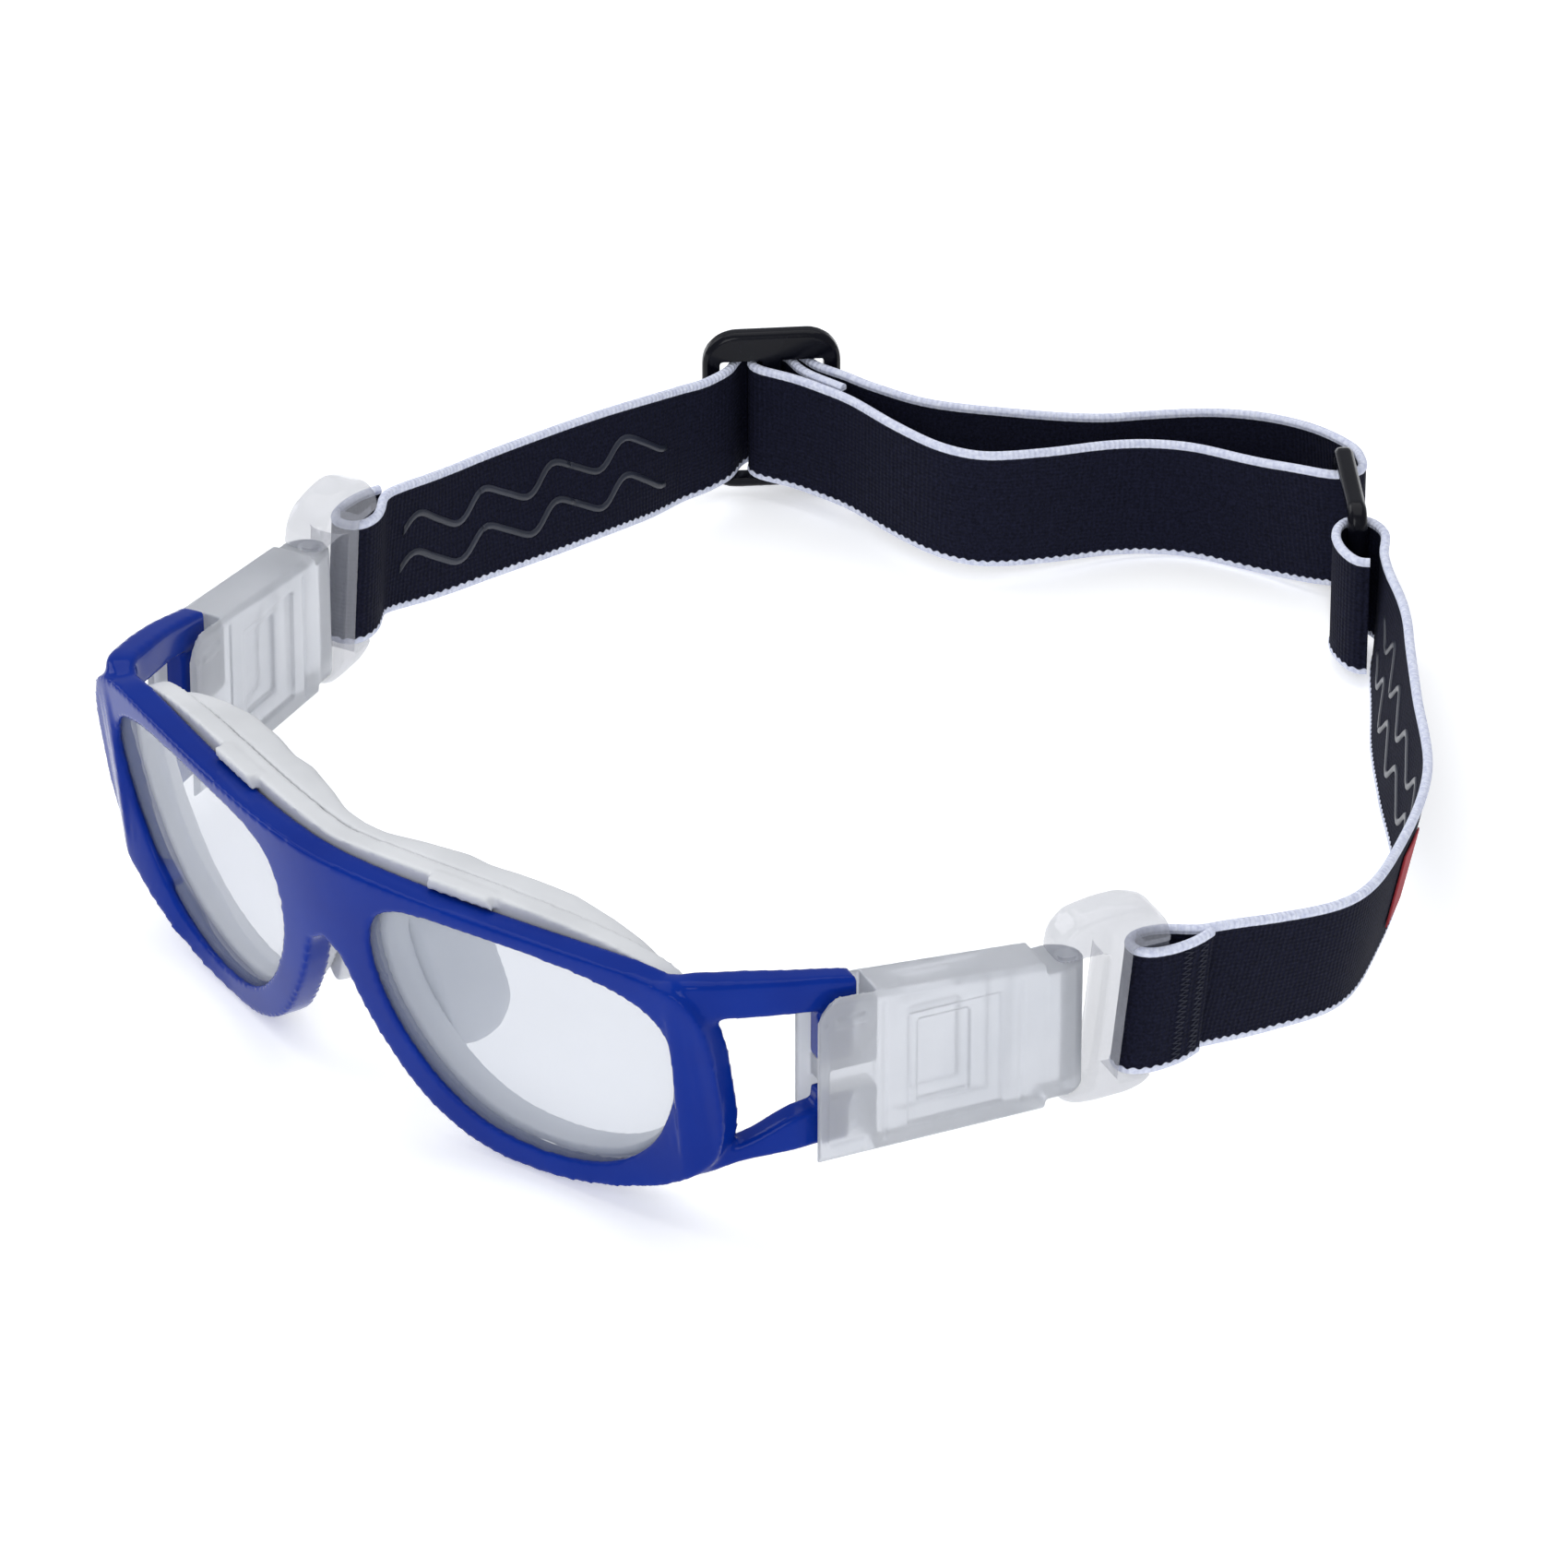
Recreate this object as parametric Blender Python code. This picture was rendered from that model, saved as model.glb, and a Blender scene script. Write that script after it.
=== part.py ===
"""Sports protective goggles: one moulded frame with two lenses and a soft face liner, two clip-on
temple sleeves with strap brackets, and an elastic head strap with an adjuster slider and a rear ring.

The wearer looks along -Y, +X is the wearer's left and +Z is up. The goggles stand as they do on a
table: on the two rims in front and on the lower edge of the strap behind. Every length below is in
millimetres, in goggle coordinates whose Y = 0 is near the front of the temples.
"""

import math

import bmesh
import bpy
from mathutils import Vector

MM = 0.001
GAP = 0.3  # clearance between touching pieces

# The middle of the whole object's footprint, which becomes the origin.
FOOTPRINT_MIDDLE = (-3.05, 89.75)

# Front surface: wraps round the face and leans forward at the top.
FRONT_Y = -20.15
WRAP_SLOPE = 0.284
WRAP_ROUND = 17.8
FRONT_LEAN = 0.168
LEAN_PIVOT_Z = 23.7
CHIN = 1.8

# Outlines in the front view, (x, z), for the side with +X. The other side is the mirror image.
LENS_OPENING = [
    (9.8, 30.5), (11.4, 36.6), (16.5, 39.8), (26.0, 40.5), (38.0, 40.4), (49.0, 39.4),
    (56.6, 36.6), (59.6, 31.0), (58.6, 22.5), (55.0, 14.6), (50.0, 9.2), (43.5, 5.9),
    (35.0, 4.6), (26.5, 5.9), (20.0, 9.7), (14.6, 16.0), (11.0, 23.2),
]
RIM_OUTLINE = [
    (0.0, 43.4), (10.0, 43.5), (22.0, 43.3), (36.0, 43.1), (49.0, 42.9), (57.0, 42.6), (63.0, 40.6),
    (65.8, 35.0), (66.4, 27.0), (66.0, 19.0), (63.4, 12.4), (57.6, 7.8), (51.0, 5.0), (45.0, 2.9),
    (39.6, 1.5), (33.6, 0.7), (27.0, 1.0), (20.6, 3.2), (14.6, 7.6), (9.4, 14.4), (6.0, 20.4), (3.2, 26.6),
    (0.0, 28.8),
]
FRAME_DEPTH = 4.6
LENS_THICKNESS = 2.0
LENS_DEPTH = 1.2  # from the frame's front face to the lens's front face
LENS_SEAT = 1.1  # how far the lens runs under the rim's lip
OUTLINE_STEPS = 3  # points made between two points of an outline

# Temples: a vertical plane on each side, splayed outwards towards the rear.
TEMPLE_SPLAY = 18.5
HINGE_XY = (69.6, 12.5)
ARM_THICKNESS = 4.3
SLEEVE_THICKNESS = 8.0
SLEEVE_SLOT = 6.1
SLOT_REAR = 5.6
WEB_FRONT = -1.8
WEB_Z = (22.3, 25.9)
SLEEVE_FRONT = -3.6
SLEEVE_REAR = 38.6
SLEEVE_BOTTOM = 11.3
SLEEVE_TOP_FRONT = 38.1
SLEEVE_TOP_REAR = 34.6
NECK_START = 31.6
NECK_BOTTOM = 14.6
NECK_TOP = 31.9
SWIVEL_AT = 36.4
SWIVEL_RADIUS = 1.3
BORE_RADIUS = 1.7

# Strap bracket: a clear ring standing in the temple's plane.
BRACKET_WIDTH = 6.6
REAR_BAR = 48.4
REAR_BAR_RADIUS = 1.5

# Webbing.
STRAP_WIDTH = 20.0
STRAP_THICKNESS = 1.3
STRAP_STEP = 3.2

# Adjuster slider, in its own coordinates: along the webbing, inwards, and up.
SLIDER_AT = (-91.7, 151.5)
SLIDER_HEADING = 52.3
SLIDER_LENGTH = 22.0
SLIDER_HEIGHT = 27.6
SLIDER_THICKNESS = 3.0
SLIDER_BOTTOM = 1.2
SLIDER_WINDOW_Z = (3.2, 23.9)

# Rear ring, in its own coordinates: along its length, outwards, and up.
RING_AT = (-0.6, 188.2)
RING_HEADING = -39.3
RING_BAR_SPACING = 21.3
RING_BAR = 3.0
RING_HEIGHT = 25.4
RING_WINDOW_Z = (1.9, 23.5)


def clear_scene():
    for item in list(bpy.data.objects):
        bpy.data.objects.remove(item, do_unlink=True)


def new_collection(name):
    group = bpy.data.collections.new(name)
    bpy.context.scene.collection.children.link(group)
    return group


clear_scene()
GOGGLES = new_collection("sports_goggles")
CUTTERS = new_collection("cutters")
CUTTERS.hide_render = True


def principled(name, colour, roughness, metallic=0.0, transmission=0.0, alpha=1.0):
    material = bpy.data.materials.new(name)
    material.use_nodes = True
    shader = material.node_tree.nodes["Principled BSDF"]
    shader.inputs["Base Color"].default_value = (*colour, 1.0)
    shader.inputs["Roughness"].default_value = roughness
    shader.inputs["Metallic"].default_value = metallic
    shader.inputs["Transmission Weight"].default_value = transmission
    shader.inputs["Alpha"].default_value = alpha
    return material


FRAME_BLUE = principled("frame_blue", (0.01, 0.03, 0.28), 0.15)
LENS_CLEAR = principled("lens_clear", (0.9, 0.94, 0.97), 0.02, transmission=1.0)
LINER_SILICONE = principled("liner_silicone", (0.72, 0.73, 0.76), 0.4, transmission=0.3)
SLEEVE_FROSTED = principled("sleeve_frosted", (0.75, 0.77, 0.82), 0.45, transmission=0.4)
BRACKET_CLEAR = principled("bracket_clear", (0.85, 0.87, 0.9), 0.05, transmission=0.9)
WEBBING_NAVY = principled("webbing_navy", (0.012, 0.013, 0.025), 0.85)
SLIDER_BLACK = principled("slider_black", (0.01, 0.01, 0.012), 0.25)
LABEL_RED = principled("label_red", (0.35, 0.02, 0.03), 0.7)


# ---------------------------------------------------------------- shared geometry

def spline(points, steps, closed=False):
    """A smooth curve through the points (centripetal-like Catmull-Rom), with steps between each two."""
    count = len(points)
    dense = []
    spans = count if closed else count - 1
    for i in range(spans):
        if closed:
            p0, p1, p2, p3 = (points[(i + k) % count] for k in (-1, 0, 1, 2))
        else:
            p0, p1 = points[max(i - 1, 0)], points[i]
            p2, p3 = points[i + 1], points[min(i + 2, count - 1)]
        for k in range(steps):
            t = k / steps
            dense.append(tuple(
                0.5 * (2 * b + (c - a) * t + (2 * a - 5 * b + 4 * c - d) * t ** 2
                       + (3 * b - a - 3 * c + d) * t ** 3)
                for a, b, c, d in zip(p0, p1, p2, p3)
            ))
    if not closed:
        dense.append(tuple(points[-1]))
    return dense


def resample(points, step):
    """The same polyline with points every step or so."""
    lengths = [0.0]
    for a, b in zip(points, points[1:]):
        lengths.append(lengths[-1] + math.dist(a, b))
    count = max(2, round(lengths[-1] / step))
    even = []
    j = 0
    for i in range(count + 1):
        goal = lengths[-1] * i / count
        while j < len(lengths) - 2 and lengths[j + 1] < goal:
            j += 1
        span = lengths[j + 1] - lengths[j]
        t = (goal - lengths[j]) / span if span else 0.0
        even.append(tuple(a + (b - a) * t for a, b in zip(points[j], points[j + 1])))
    return even


def offset_outline(points, distance):
    """The closed outline moved outwards by a distance (counter-clockwise or clockwise alike)."""
    area = sum(a[0] * b[1] - b[0] * a[1] for a, b in zip(points, points[1:] + points[:1]))
    side = 1.0 if area > 0 else -1.0
    moved = []
    for i, here in enumerate(points):
        before, after = points[i - 1], points[(i + 1) % len(points)]
        along = Vector((after[0] - before[0], after[1] - before[1])).normalized()
        moved.append((here[0] + side * along.y * distance, here[1] - side * along.x * distance))
    return moved


def ease(t):
    t = min(max(t, 0.0), 1.0)
    return t * t * (3 - 2 * t)


def chin(x, z):
    """How far the rim's lower outer band stands forward of the lens surface."""
    lens_edge = 2.8 + 9.6 * (max(abs(x) - 35.0, 0.0) / 20.0) ** 2.2
    return CHIN * ease((abs(x) - 31.0) / 13.0) * ease((lens_edge - z) / 3.0) * ease((14.0 - z) / 5.0)


def front_point(x, z, depth, chin_share=1.0):
    """A point of the front, depth mm behind its front surface, from its place in the front view."""
    root = math.hypot(x, WRAP_ROUND)
    slope = WRAP_SLOPE * x / root
    normal = Vector((-slope, 1.0)).normalized()
    surface = FRONT_Y + WRAP_SLOPE * (root - WRAP_ROUND) - FRONT_LEAN * (z - LEAN_PIVOT_Z)
    surface -= chin_share * chin(x, z)
    return Vector((x + depth * normal.x, surface + depth * normal.y, z))


def world(point):
    """Metres in the object's own frame, from millimetres in goggle coordinates."""
    return Vector((
        (point[0] - FOOTPRINT_MIDDLE[0]) * MM,
        (point[1] - FOOTPRINT_MIDDLE[1]) * MM,
        point[2] * MM,
    ))


def temple_point(along, across, z, side=1):
    """A point of the right-hand (+X) or left-hand temple: along it to the rear, across it outwards."""
    angle = math.radians(TEMPLE_SPLAY)
    x = HINGE_XY[0] + along * math.sin(angle) + across * math.cos(angle)
    y = HINGE_XY[1] + along * math.cos(angle) - across * math.sin(angle)
    return Vector((side * x, y, z))


def object_from(name, mesh, material, group=None):
    item = bpy.data.objects.new(name, mesh)
    (group or GOGGLES).objects.link(item)
    if material:
        mesh.materials.append(material)
    for face in mesh.polygons:
        face.use_smooth = True
    mesh.set_sharp_from_angle(angle=math.radians(35))
    return item


def loft(name, rings, material, group=None, closed=False, mirrored=False):
    """A solid through rings of the same number of points. Unless closed on itself, it has end caps."""
    form = bmesh.new()
    placed = [[form.verts.new(world(p)) for p in ring] for ring in rings]
    around = len(rings[0])
    spans = len(placed) if closed else len(placed) - 1
    for i in range(spans):
        first, second = placed[i], placed[(i + 1) % len(placed)]
        for j in range(around):
            k = (j + 1) % around
            form.faces.new((first[j], first[k], second[k], second[j]))
    if not closed:
        form.faces.new(placed[0])
        form.faces.new(list(reversed(placed[-1])))
    bmesh.ops.recalc_face_normals(form, faces=form.faces)
    if form.calc_volume(signed=True) < 0:
        bmesh.ops.reverse_faces(form, faces=form.faces)
    mesh = bpy.data.meshes.new(name)
    form.to_mesh(mesh)
    form.free()
    return object_from(name, mesh, material, group)


def box_section(centre, right, up, half_width, half_height, round_off=0.0):
    """A rectangle with clipped corners, as a ring of eight points, or four without the clip."""
    if round_off <= 0:
        corners = [(-1, -1), (1, -1), (1, 1), (-1, 1)]
        return [centre + right * (a * half_width) + up * (b * half_height) for a, b in corners]
    w, h, r = half_width, half_height, round_off
    marks = [(-w + r, -h), (w - r, -h), (w, -h + r), (w, h - r),
             (w - r, h), (-w + r, h), (-w, h - r), (-w, -h + r)]
    return [centre + right * a + up * b for a, b in marks]


def boolean(target, tool, operation):
    """Joins or cuts target with tool and keeps the result as target's own mesh."""
    cut = target.modifiers.new("boolean", "BOOLEAN")
    cut.operation = operation
    cut.object = tool
    cut.solver = "EXACT"
    graph = bpy.context.evaluated_depsgraph_get()
    graph.update()
    result = bpy.data.meshes.new_from_object(target.evaluated_get(graph))
    target.modifiers.clear()
    old = target.data
    target.data = result
    bpy.data.meshes.remove(old)
    bpy.data.objects.remove(tool, do_unlink=True)
    for face in result.polygons:
        face.use_smooth = True
    result.set_sharp_from_angle(angle=math.radians(35))


def mirror_copy(source, name):
    """The other side's copy of a piece, as its own mesh with its faces still pointing out."""
    form = bmesh.new()
    form.from_mesh(source.data)
    middle = -FOOTPRINT_MIDDLE[0] * MM
    for vert in form.verts:
        vert.co.x = 2 * middle - vert.co.x
    bmesh.ops.reverse_faces(form, faces=form.faces)
    mesh = bpy.data.meshes.new(name)
    form.to_mesh(mesh)
    form.free()
    mesh.materials.append(source.data.materials[0])
    return object_from(name, mesh, None)


def set_origin(item, point):
    """Moves the object's origin to a point in goggle coordinates, leaving its shape where it is."""
    place = world(point)
    for vert in item.data.vertices:
        vert.co -= place
    item.location = place


def flat_plate(name, outline, front, back, material=None, group=None):
    """A plate between two depths, laid out flat as (x, depth, z). wrap_to_front bends it to shape."""
    rings = [[Vector((x, depth, z)) for x, z in outline] for depth in (front, back)]
    return loft(name, rings, material, group)


def wrap_to_front(item, every=5.0, chin_share=1.0):
    """Bends a flat plate round the front surface, with a row of points every few millimetres."""
    form = bmesh.new()
    form.from_mesh(item.data)
    columns = int(75.0 / every)
    for k in range(-columns, columns + 1):
        place = world((k * every + 0.013, 0, 0))
        geometry = form.verts[:] + form.edges[:] + form.faces[:]
        bmesh.ops.bisect_plane(form, geom=geometry, plane_co=place, plane_no=(1, 0, 0), dist=1e-7)
    bmesh.ops.triangulate(form, faces=form.faces, quad_method="BEAUTY", ngon_method="BEAUTY")
    for vert in form.verts:
        x = vert.co.x / MM + FOOTPRINT_MIDDLE[0]
        depth = vert.co.y / MM + FOOTPRINT_MIDDLE[1]
        vert.co = world(front_point(x, vert.co.z / MM, depth, chin_share))
    form.to_mesh(item.data)
    form.free()
    for face in item.data.polygons:
        face.use_smooth = True
    item.data.set_sharp_from_angle(angle=math.radians(35))


# ---------------------------------------------------------------- front frame

def half_to_full(points):
    """Closes an outline that runs from the middle round the +X side and back, with its mirror image."""
    return points + [(-x, z) for x, z in reversed(points[1:-1])]


def temple_box(name, along, across, z_from, z_to, material=None, group=None, side=1, round_off=0.4):
    """A straight block in the temple's plane. z_from and z_to are (bottom, top) at its two ends."""
    angle = math.radians(TEMPLE_SPLAY)
    right = Vector((math.cos(angle), -math.sin(angle), 0))
    rings = []
    for place, (bottom, top) in zip(along, (z_from, z_to)):
        centre = temple_point(place, sum(across) / 2, (bottom + top) / 2)
        half = abs(across[1] - across[0]) / 2
        rings.append(box_section(centre, right, Vector((0, 0, 1)), half, (top - bottom) / 2, round_off))
    if side < 0:
        rings = [[Vector((-p.x, p.y, p.z)) for p in ring] for ring in rings]
    return loft(name, rings, material, group)


def swept_arm(name, stations, side):
    """One arm of the frame: stations are (x, y, bottom, top, width), joined by a smooth loft."""
    dense = spline(stations, 3)
    rings = []
    for i, (x, y, bottom, top, width) in enumerate(dense):
        ahead = dense[min(i + 1, len(dense) - 1)]
        behind = dense[max(i - 1, 0)]
        run = Vector((ahead[0] - behind[0], ahead[1] - behind[1], 0)).normalized()
        right = Vector((run.y, -run.x, 0))
        centre = Vector((x, y, (bottom + top) / 2))
        ring = box_section(centre, right, Vector((0, 0, 1)), width / 2, (top - bottom) / 2, 0.7)
        rings.append([Vector((side * p.x, p.y, p.z)) for p in ring])
    return loft(name, rings, None, CUTTERS)


UPPER_ARM = [
    (59.2, -7.4, 37.6, 43.6, 4.2), (61.8, -5.6, 37.2, 43.6, 4.6), (64.6, -0.2, 36.4, 42.3, 4.6),
    (67.4, 6.0, 35.6, 41.2, 4.3), (69.15, 11.15, 34.8, 40.2, 4.0), (70.62, 15.53, 34.2, 39.2, 3.9),
]
LOWER_ARM = [
    (56.4, -4.6, 8.6, 13.6, 4.2), (60.6, -2.9, 10.2, 14.4, 4.4), (64.0, 0.8, 12.4, 15.4, 4.4),
    (67.3, 6.0, 13.2, 18.6, 4.3), (68.65, 9.66, 13.4, 19.4, 4.0), (70.19, 14.27, 13.4, 19.4, 3.9),
]
UPPER_TAB_Z = (26.6, 34.4)
LOWER_TAB_Z = (19.0, 21.6)
TAB_ALONG = (-2.6, 2.6)


def make_frame():
    rim = spline(RIM_OUTLINE, OUTLINE_STEPS)
    outline = half_to_full(rim)
    frame = flat_plate("frame_front", outline, 0.0, FRAME_DEPTH, FRAME_BLUE)
    lens = spline(LENS_OPENING, OUTLINE_STEPS, closed=True)
    for side in (1, -1):
        sided = [(side * x, z) for x, z in lens]
        aperture = flat_plate("aperture", sided, -2.0, FRAME_DEPTH + 3.0, None, CUTTERS)
        boolean(frame, aperture, "DIFFERENCE")
        seat_outline = offset_outline(sided, LENS_SEAT + GAP)
        seat = flat_plate("seat", seat_outline, LENS_DEPTH - GAP, FRAME_DEPTH + 3.0, None, CUTTERS)
        boolean(frame, seat, "DIFFERENCE")
    wrap_to_front(frame)
    for side in (1, -1):
        boolean(frame, swept_arm("upper_arm", UPPER_ARM, side), "UNION")
        boolean(frame, swept_arm("lower_arm", LOWER_ARM, side), "UNION")
        half = ARM_THICKNESS / 2 - 0.4
        for low, high in (UPPER_TAB_Z, LOWER_TAB_Z):
            tab = temple_box("tab", TAB_ALONG, (-half, half), (low, high), (low, high), None, CUTTERS, side)
            boolean(frame, tab, "UNION")
    return frame


def make_lenses():
    lens = spline(LENS_OPENING, OUTLINE_STEPS, closed=True)
    for side, name in ((1, "lens_left"), (-1, "lens_right")):
        sided = offset_outline([(side * x, z) for x, z in lens], LENS_SEAT)
        item = flat_plate(name, sided, LENS_DEPTH, LENS_DEPTH + LENS_THICKNESS, LENS_CLEAR)
        wrap_to_front(item)


# ---------------------------------------------------------------- face liner

LINER_DEPTH = 3.4
LINER_OUTER = [
    (0.0, 44.6), (12.0, 45.4), (24.0, 45.4), (38.0, 44.8), (50.0, 43.2), (57.6, 40.4), (61.0, 35.0),
    (61.8, 26.0), (60.6, 17.0), (57.6, 10.4), (52.6, 5.8), (45.6, 3.0), (36.4, 2.2),
    (28.4, 3.4), (21.0, 6.8), (14.4, 12.6), (9.0, 20.0), (4.8, 27.6), (0.0, 30.6),
]
LINER_OPENING_MARGIN = 0.6
BROW_OUTLINE = [
    (0.0, 44.4), (12.0, 45.0), (24.0, 45.0), (38.0, 44.2), (48.0, 42.6), (53.0, 40.6), (52.0, 38.4),
    (46.0, 39.8), (36.0, 40.9), (24.0, 41.0), (12.0, 40.2), (0.0, 37.6),
]
BROW_DEPTHS = [
    (0.0, 3.2), (6.0, 3.3), (12.0, 4.6), (20.0, 5.6), (24.5, 4.9), (30.0, 5.6), (38.0, 5.6), (46.0, 3.8), (54.0, 1.6),
]
NOSE_PAD_OUTLINE = [
    (5.8, 31.2), (8.6, 33.0), (12.0, 31.0), (13.6, 25.4), (15.2, 18.6), (15.8, 13.6), (14.8, 10.2), (12.4, 11.0),
    (9.2, 18.0), (6.6, 25.2),
]
NOSE_PAD_DEPTH = 11.0


def make_liner():
    outline = half_to_full(spline(LINER_OUTER, 4))
    front = FRAME_DEPTH + GAP
    liner = flat_plate("liner_frame", outline, front, front + LINER_DEPTH, LINER_SILICONE)
    lens = spline(LENS_OPENING, 4, closed=True)
    for side in (1, -1):
        sided = [(side * x, z) for x, z in lens]
        collar = offset_outline(sided, LENS_SEAT - 0.1)
        plate = flat_plate("collar", collar, LENS_DEPTH + LENS_THICKNESS + GAP, front + 1.0, None, CUTTERS)
        boolean(liner, plate, "UNION")
        hole = offset_outline(sided, -LINER_OPENING_MARGIN)
        cutter = flat_plate("liner_hole", hole, front - 3.0, front + LINER_DEPTH + 2.0, None, CUTTERS)
        boolean(liner, cutter, "DIFFERENCE")
    wrap_to_front(liner, chin_share=0.0)
    return liner


def profile(points, x):
    """The value at x of a line through (x, value) points."""
    for (x0, v0), (x1, v1) in zip(points, points[1:]):
        if x <= x1:
            return v0 + (v1 - v0) * max(0.0, x - x0) / (x1 - x0)
    return points[-1][1]


def make_brow_pad():
    outline = half_to_full(spline(BROW_OUTLINE, 3))
    start = FRAME_DEPTH + LINER_DEPTH + 2 * GAP
    rings = [
        [Vector((x, start, z)) for x, z in outline],
        [Vector((x, start + profile(BROW_DEPTHS, abs(x)), z - 0.5)) for x, z in outline],
    ]
    pad = loft("brow_pad", rings, LINER_SILICONE)
    wrap_to_front(pad)


def make_nose_pads():
    start = FRAME_DEPTH + LINER_DEPTH + 2 * GAP
    outline = spline(NOSE_PAD_OUTLINE, 3, closed=True)
    middle = (sum(p[0] for p in outline) / len(outline), sum(p[1] for p in outline) / len(outline))
    for side, name in ((1, "nose_pad_left"), (-1, "nose_pad_right")):
        rings = []
        for depth, shrink, shift in ((0, 0.92, 0), (4, 1.0, 1.0), (8, 0.9, 2.6), (NOSE_PAD_DEPTH, 0.62, 3.6)):
            ring = []
            for x, z in outline:
                near_x = middle[0] + (x - middle[0]) * shrink + shift
                near_z = middle[1] + (z - middle[1]) * shrink
                p = front_point(near_x, near_z, start + depth)
                ring.append(Vector((side * p.x, p.y, p.z)))
            rings.append(ring)
        loft(name, rings, LINER_SILICONE)


# ---------------------------------------------------------------- temple sleeves and strap brackets

def temple_slab(name, outline, across, material, group=None):
    """A plate standing in the temple's plane, from an outline of (along, z)."""
    rings = [[temple_point(along, a, z) for along, z in outline] for a in across]
    return loft(name, rings, material, group)


def cylinder_cutter(name, point, radius, bottom, top, sides=20, group=None, material=None):
    rings = []
    for z in (bottom, top):
        rings.append([
            Vector((point.x + radius * math.cos(2 * math.pi * i / sides),
                    point.y + radius * math.sin(2 * math.pi * i / sides), z))
            for i in range(sides)
        ])
    return loft(name, rings, material, group or CUTTERS)


def make_sleeve():
    half = SLEEVE_THICKNESS / 2
    slope = (SLEEVE_TOP_REAR - SLEEVE_TOP_FRONT) / (SLEEVE_REAR - SLEEVE_FRONT)
    top_at_neck = SLEEVE_TOP_FRONT + slope * (NECK_START - SLEEVE_FRONT)
    sleeve = temple_box(
        "temple_sleeve_left", (SLEEVE_FRONT, NECK_START), (-half, half),
        (SLEEVE_BOTTOM, SLEEVE_TOP_FRONT), (SLEEVE_BOTTOM, top_at_neck), SLEEVE_FROSTED, round_off=1.2,
    )
    neck = temple_box(
        "neck", (NECK_START - 1.0, SLEEVE_REAR), (-half + 0.8, half - 0.8),
        (NECK_BOTTOM, NECK_TOP), (NECK_BOTTOM, NECK_TOP), None, CUTTERS, round_off=0.8,
    )
    boolean(sleeve, neck, "UNION")
    open_end = SLEEVE_FRONT - 2.0
    below, above = SLEEVE_BOTTOM - 2.0, SLEEVE_TOP_FRONT + 2.0
    slot = temple_slab(
        "slot",
        [(open_end, below), (SLOT_REAR, below), (SLOT_REAR, WEB_Z[0]), (WEB_FRONT, WEB_Z[0]),
         (WEB_FRONT, WEB_Z[1]), (SLOT_REAR, WEB_Z[1]), (SLOT_REAR, above), (open_end, above)],
        (-SLEEVE_SLOT / 2, SLEEVE_SLOT / 2), None, CUTTERS,
    )
    boolean(sleeve, slot, "DIFFERENCE")
    bore = cylinder_cutter("bore", temple_point(SWIVEL_AT, 0, 0), BORE_RADIUS, NECK_BOTTOM - 3, NECK_TOP + 3)
    boolean(sleeve, bore, "DIFFERENCE")
    for across in ((half - 0.5, half + 1.0), (-half - 1.0, -half + 0.5)):
        panel = temple_box("panel", (11.0, 24.5), across, (15.6, 32.0), (15.6, 31.4), None, CUTTERS, round_off=0.0)
        boolean(sleeve, panel, "DIFFERENCE")
    other = mirror_copy(sleeve, "temple_sleeve_right")
    set_origin(sleeve, (HINGE_XY[0], HINGE_XY[1], 24.0))
    set_origin(other, (-HINGE_XY[0], HINGE_XY[1], 24.0))


BRACKET_ARCH = [
    # (along, bottom, top) of the closed side outline, as an outer loop
    (33.6, 13.4), (33.8, 11.2), (35.4, 10.2), (42.0, 10.0), (48.6, 10.8), (50.6, 12.8),
    (50.9, 24.0), (50.8, 33.4), (49.8, 36.8), (47.2, 39.6), (43.4, 40.8), (38.4, 40.4), (34.8, 38.8), (33.6, 36.0),
]


def make_bracket():
    half = BRACKET_WIDTH / 2
    bracket = temple_slab("strap_bracket_left", BRACKET_ARCH, (-half, half), BRACKET_CLEAR)
    for start, end in ((32.0, 40.6), (44.3, 46.9)):
        window = [(start, 12.5), (end, 12.5), (end, 34.0), (start, 34.0)]
        cutter = temple_slab("window", window, (-half - 1, half + 1), None, CUTTERS)
        boolean(bracket, cutter, "DIFFERENCE")
    bar = cylinder_cutter("swivel_pin", temple_point(SWIVEL_AT, 0, 0), SWIVEL_RADIUS, 11.6, 35.5)
    boolean(bracket, bar, "UNION")
    for across in ((1.7, half + 1), (-half - 1, -1.7)):
        relief = temple_box("relief", (46.0, 52.0), across, (12.5, 34.0), (12.5, 34.0), None, CUTTERS, round_off=0.0)
        boolean(bracket, relief, "DIFFERENCE")
    other = mirror_copy(bracket, "strap_bracket_right")
    for item, side in ((bracket, 1), (other, -1)):
        pivot = temple_point(SWIVEL_AT, 0, 24.0, side)
        set_origin(item, pivot)


# ---------------------------------------------------------------- webbing

def ribbon(name, stations, material=WEBBING_NAVY, width=STRAP_WIDTH, thickness=STRAP_THICKNESS, step=STRAP_STEP):
    """A strip of webbing standing on its edge. Stations are (x, y, z of its middle, lean in degrees).

    A positive lean tips the top edge to the left of the direction of travel.
    """
    path = resample(spline(stations, 8), step)
    rings = []
    for i, (x, y, z, lean) in enumerate(path):
        ahead, behind = path[min(i + 1, len(path) - 1)], path[max(i - 1, 0)]
        along = Vector((ahead[0] - behind[0], ahead[1] - behind[1], ahead[2] - behind[2])).normalized()
        left = Vector((-along.y, along.x, 0)).normalized()
        up = along.cross(left)
        if up.z < 0:
            up = -up
        tilt = math.radians(lean)
        edge = up * math.cos(tilt) + left * math.sin(tilt)
        face = left * math.cos(tilt) - up * math.sin(tilt)
        centre = Vector((x, y, z))
        rings.append(box_section(centre, face, edge, thickness / 2, width / 2))
    return loft(name, rings, material)


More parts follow.
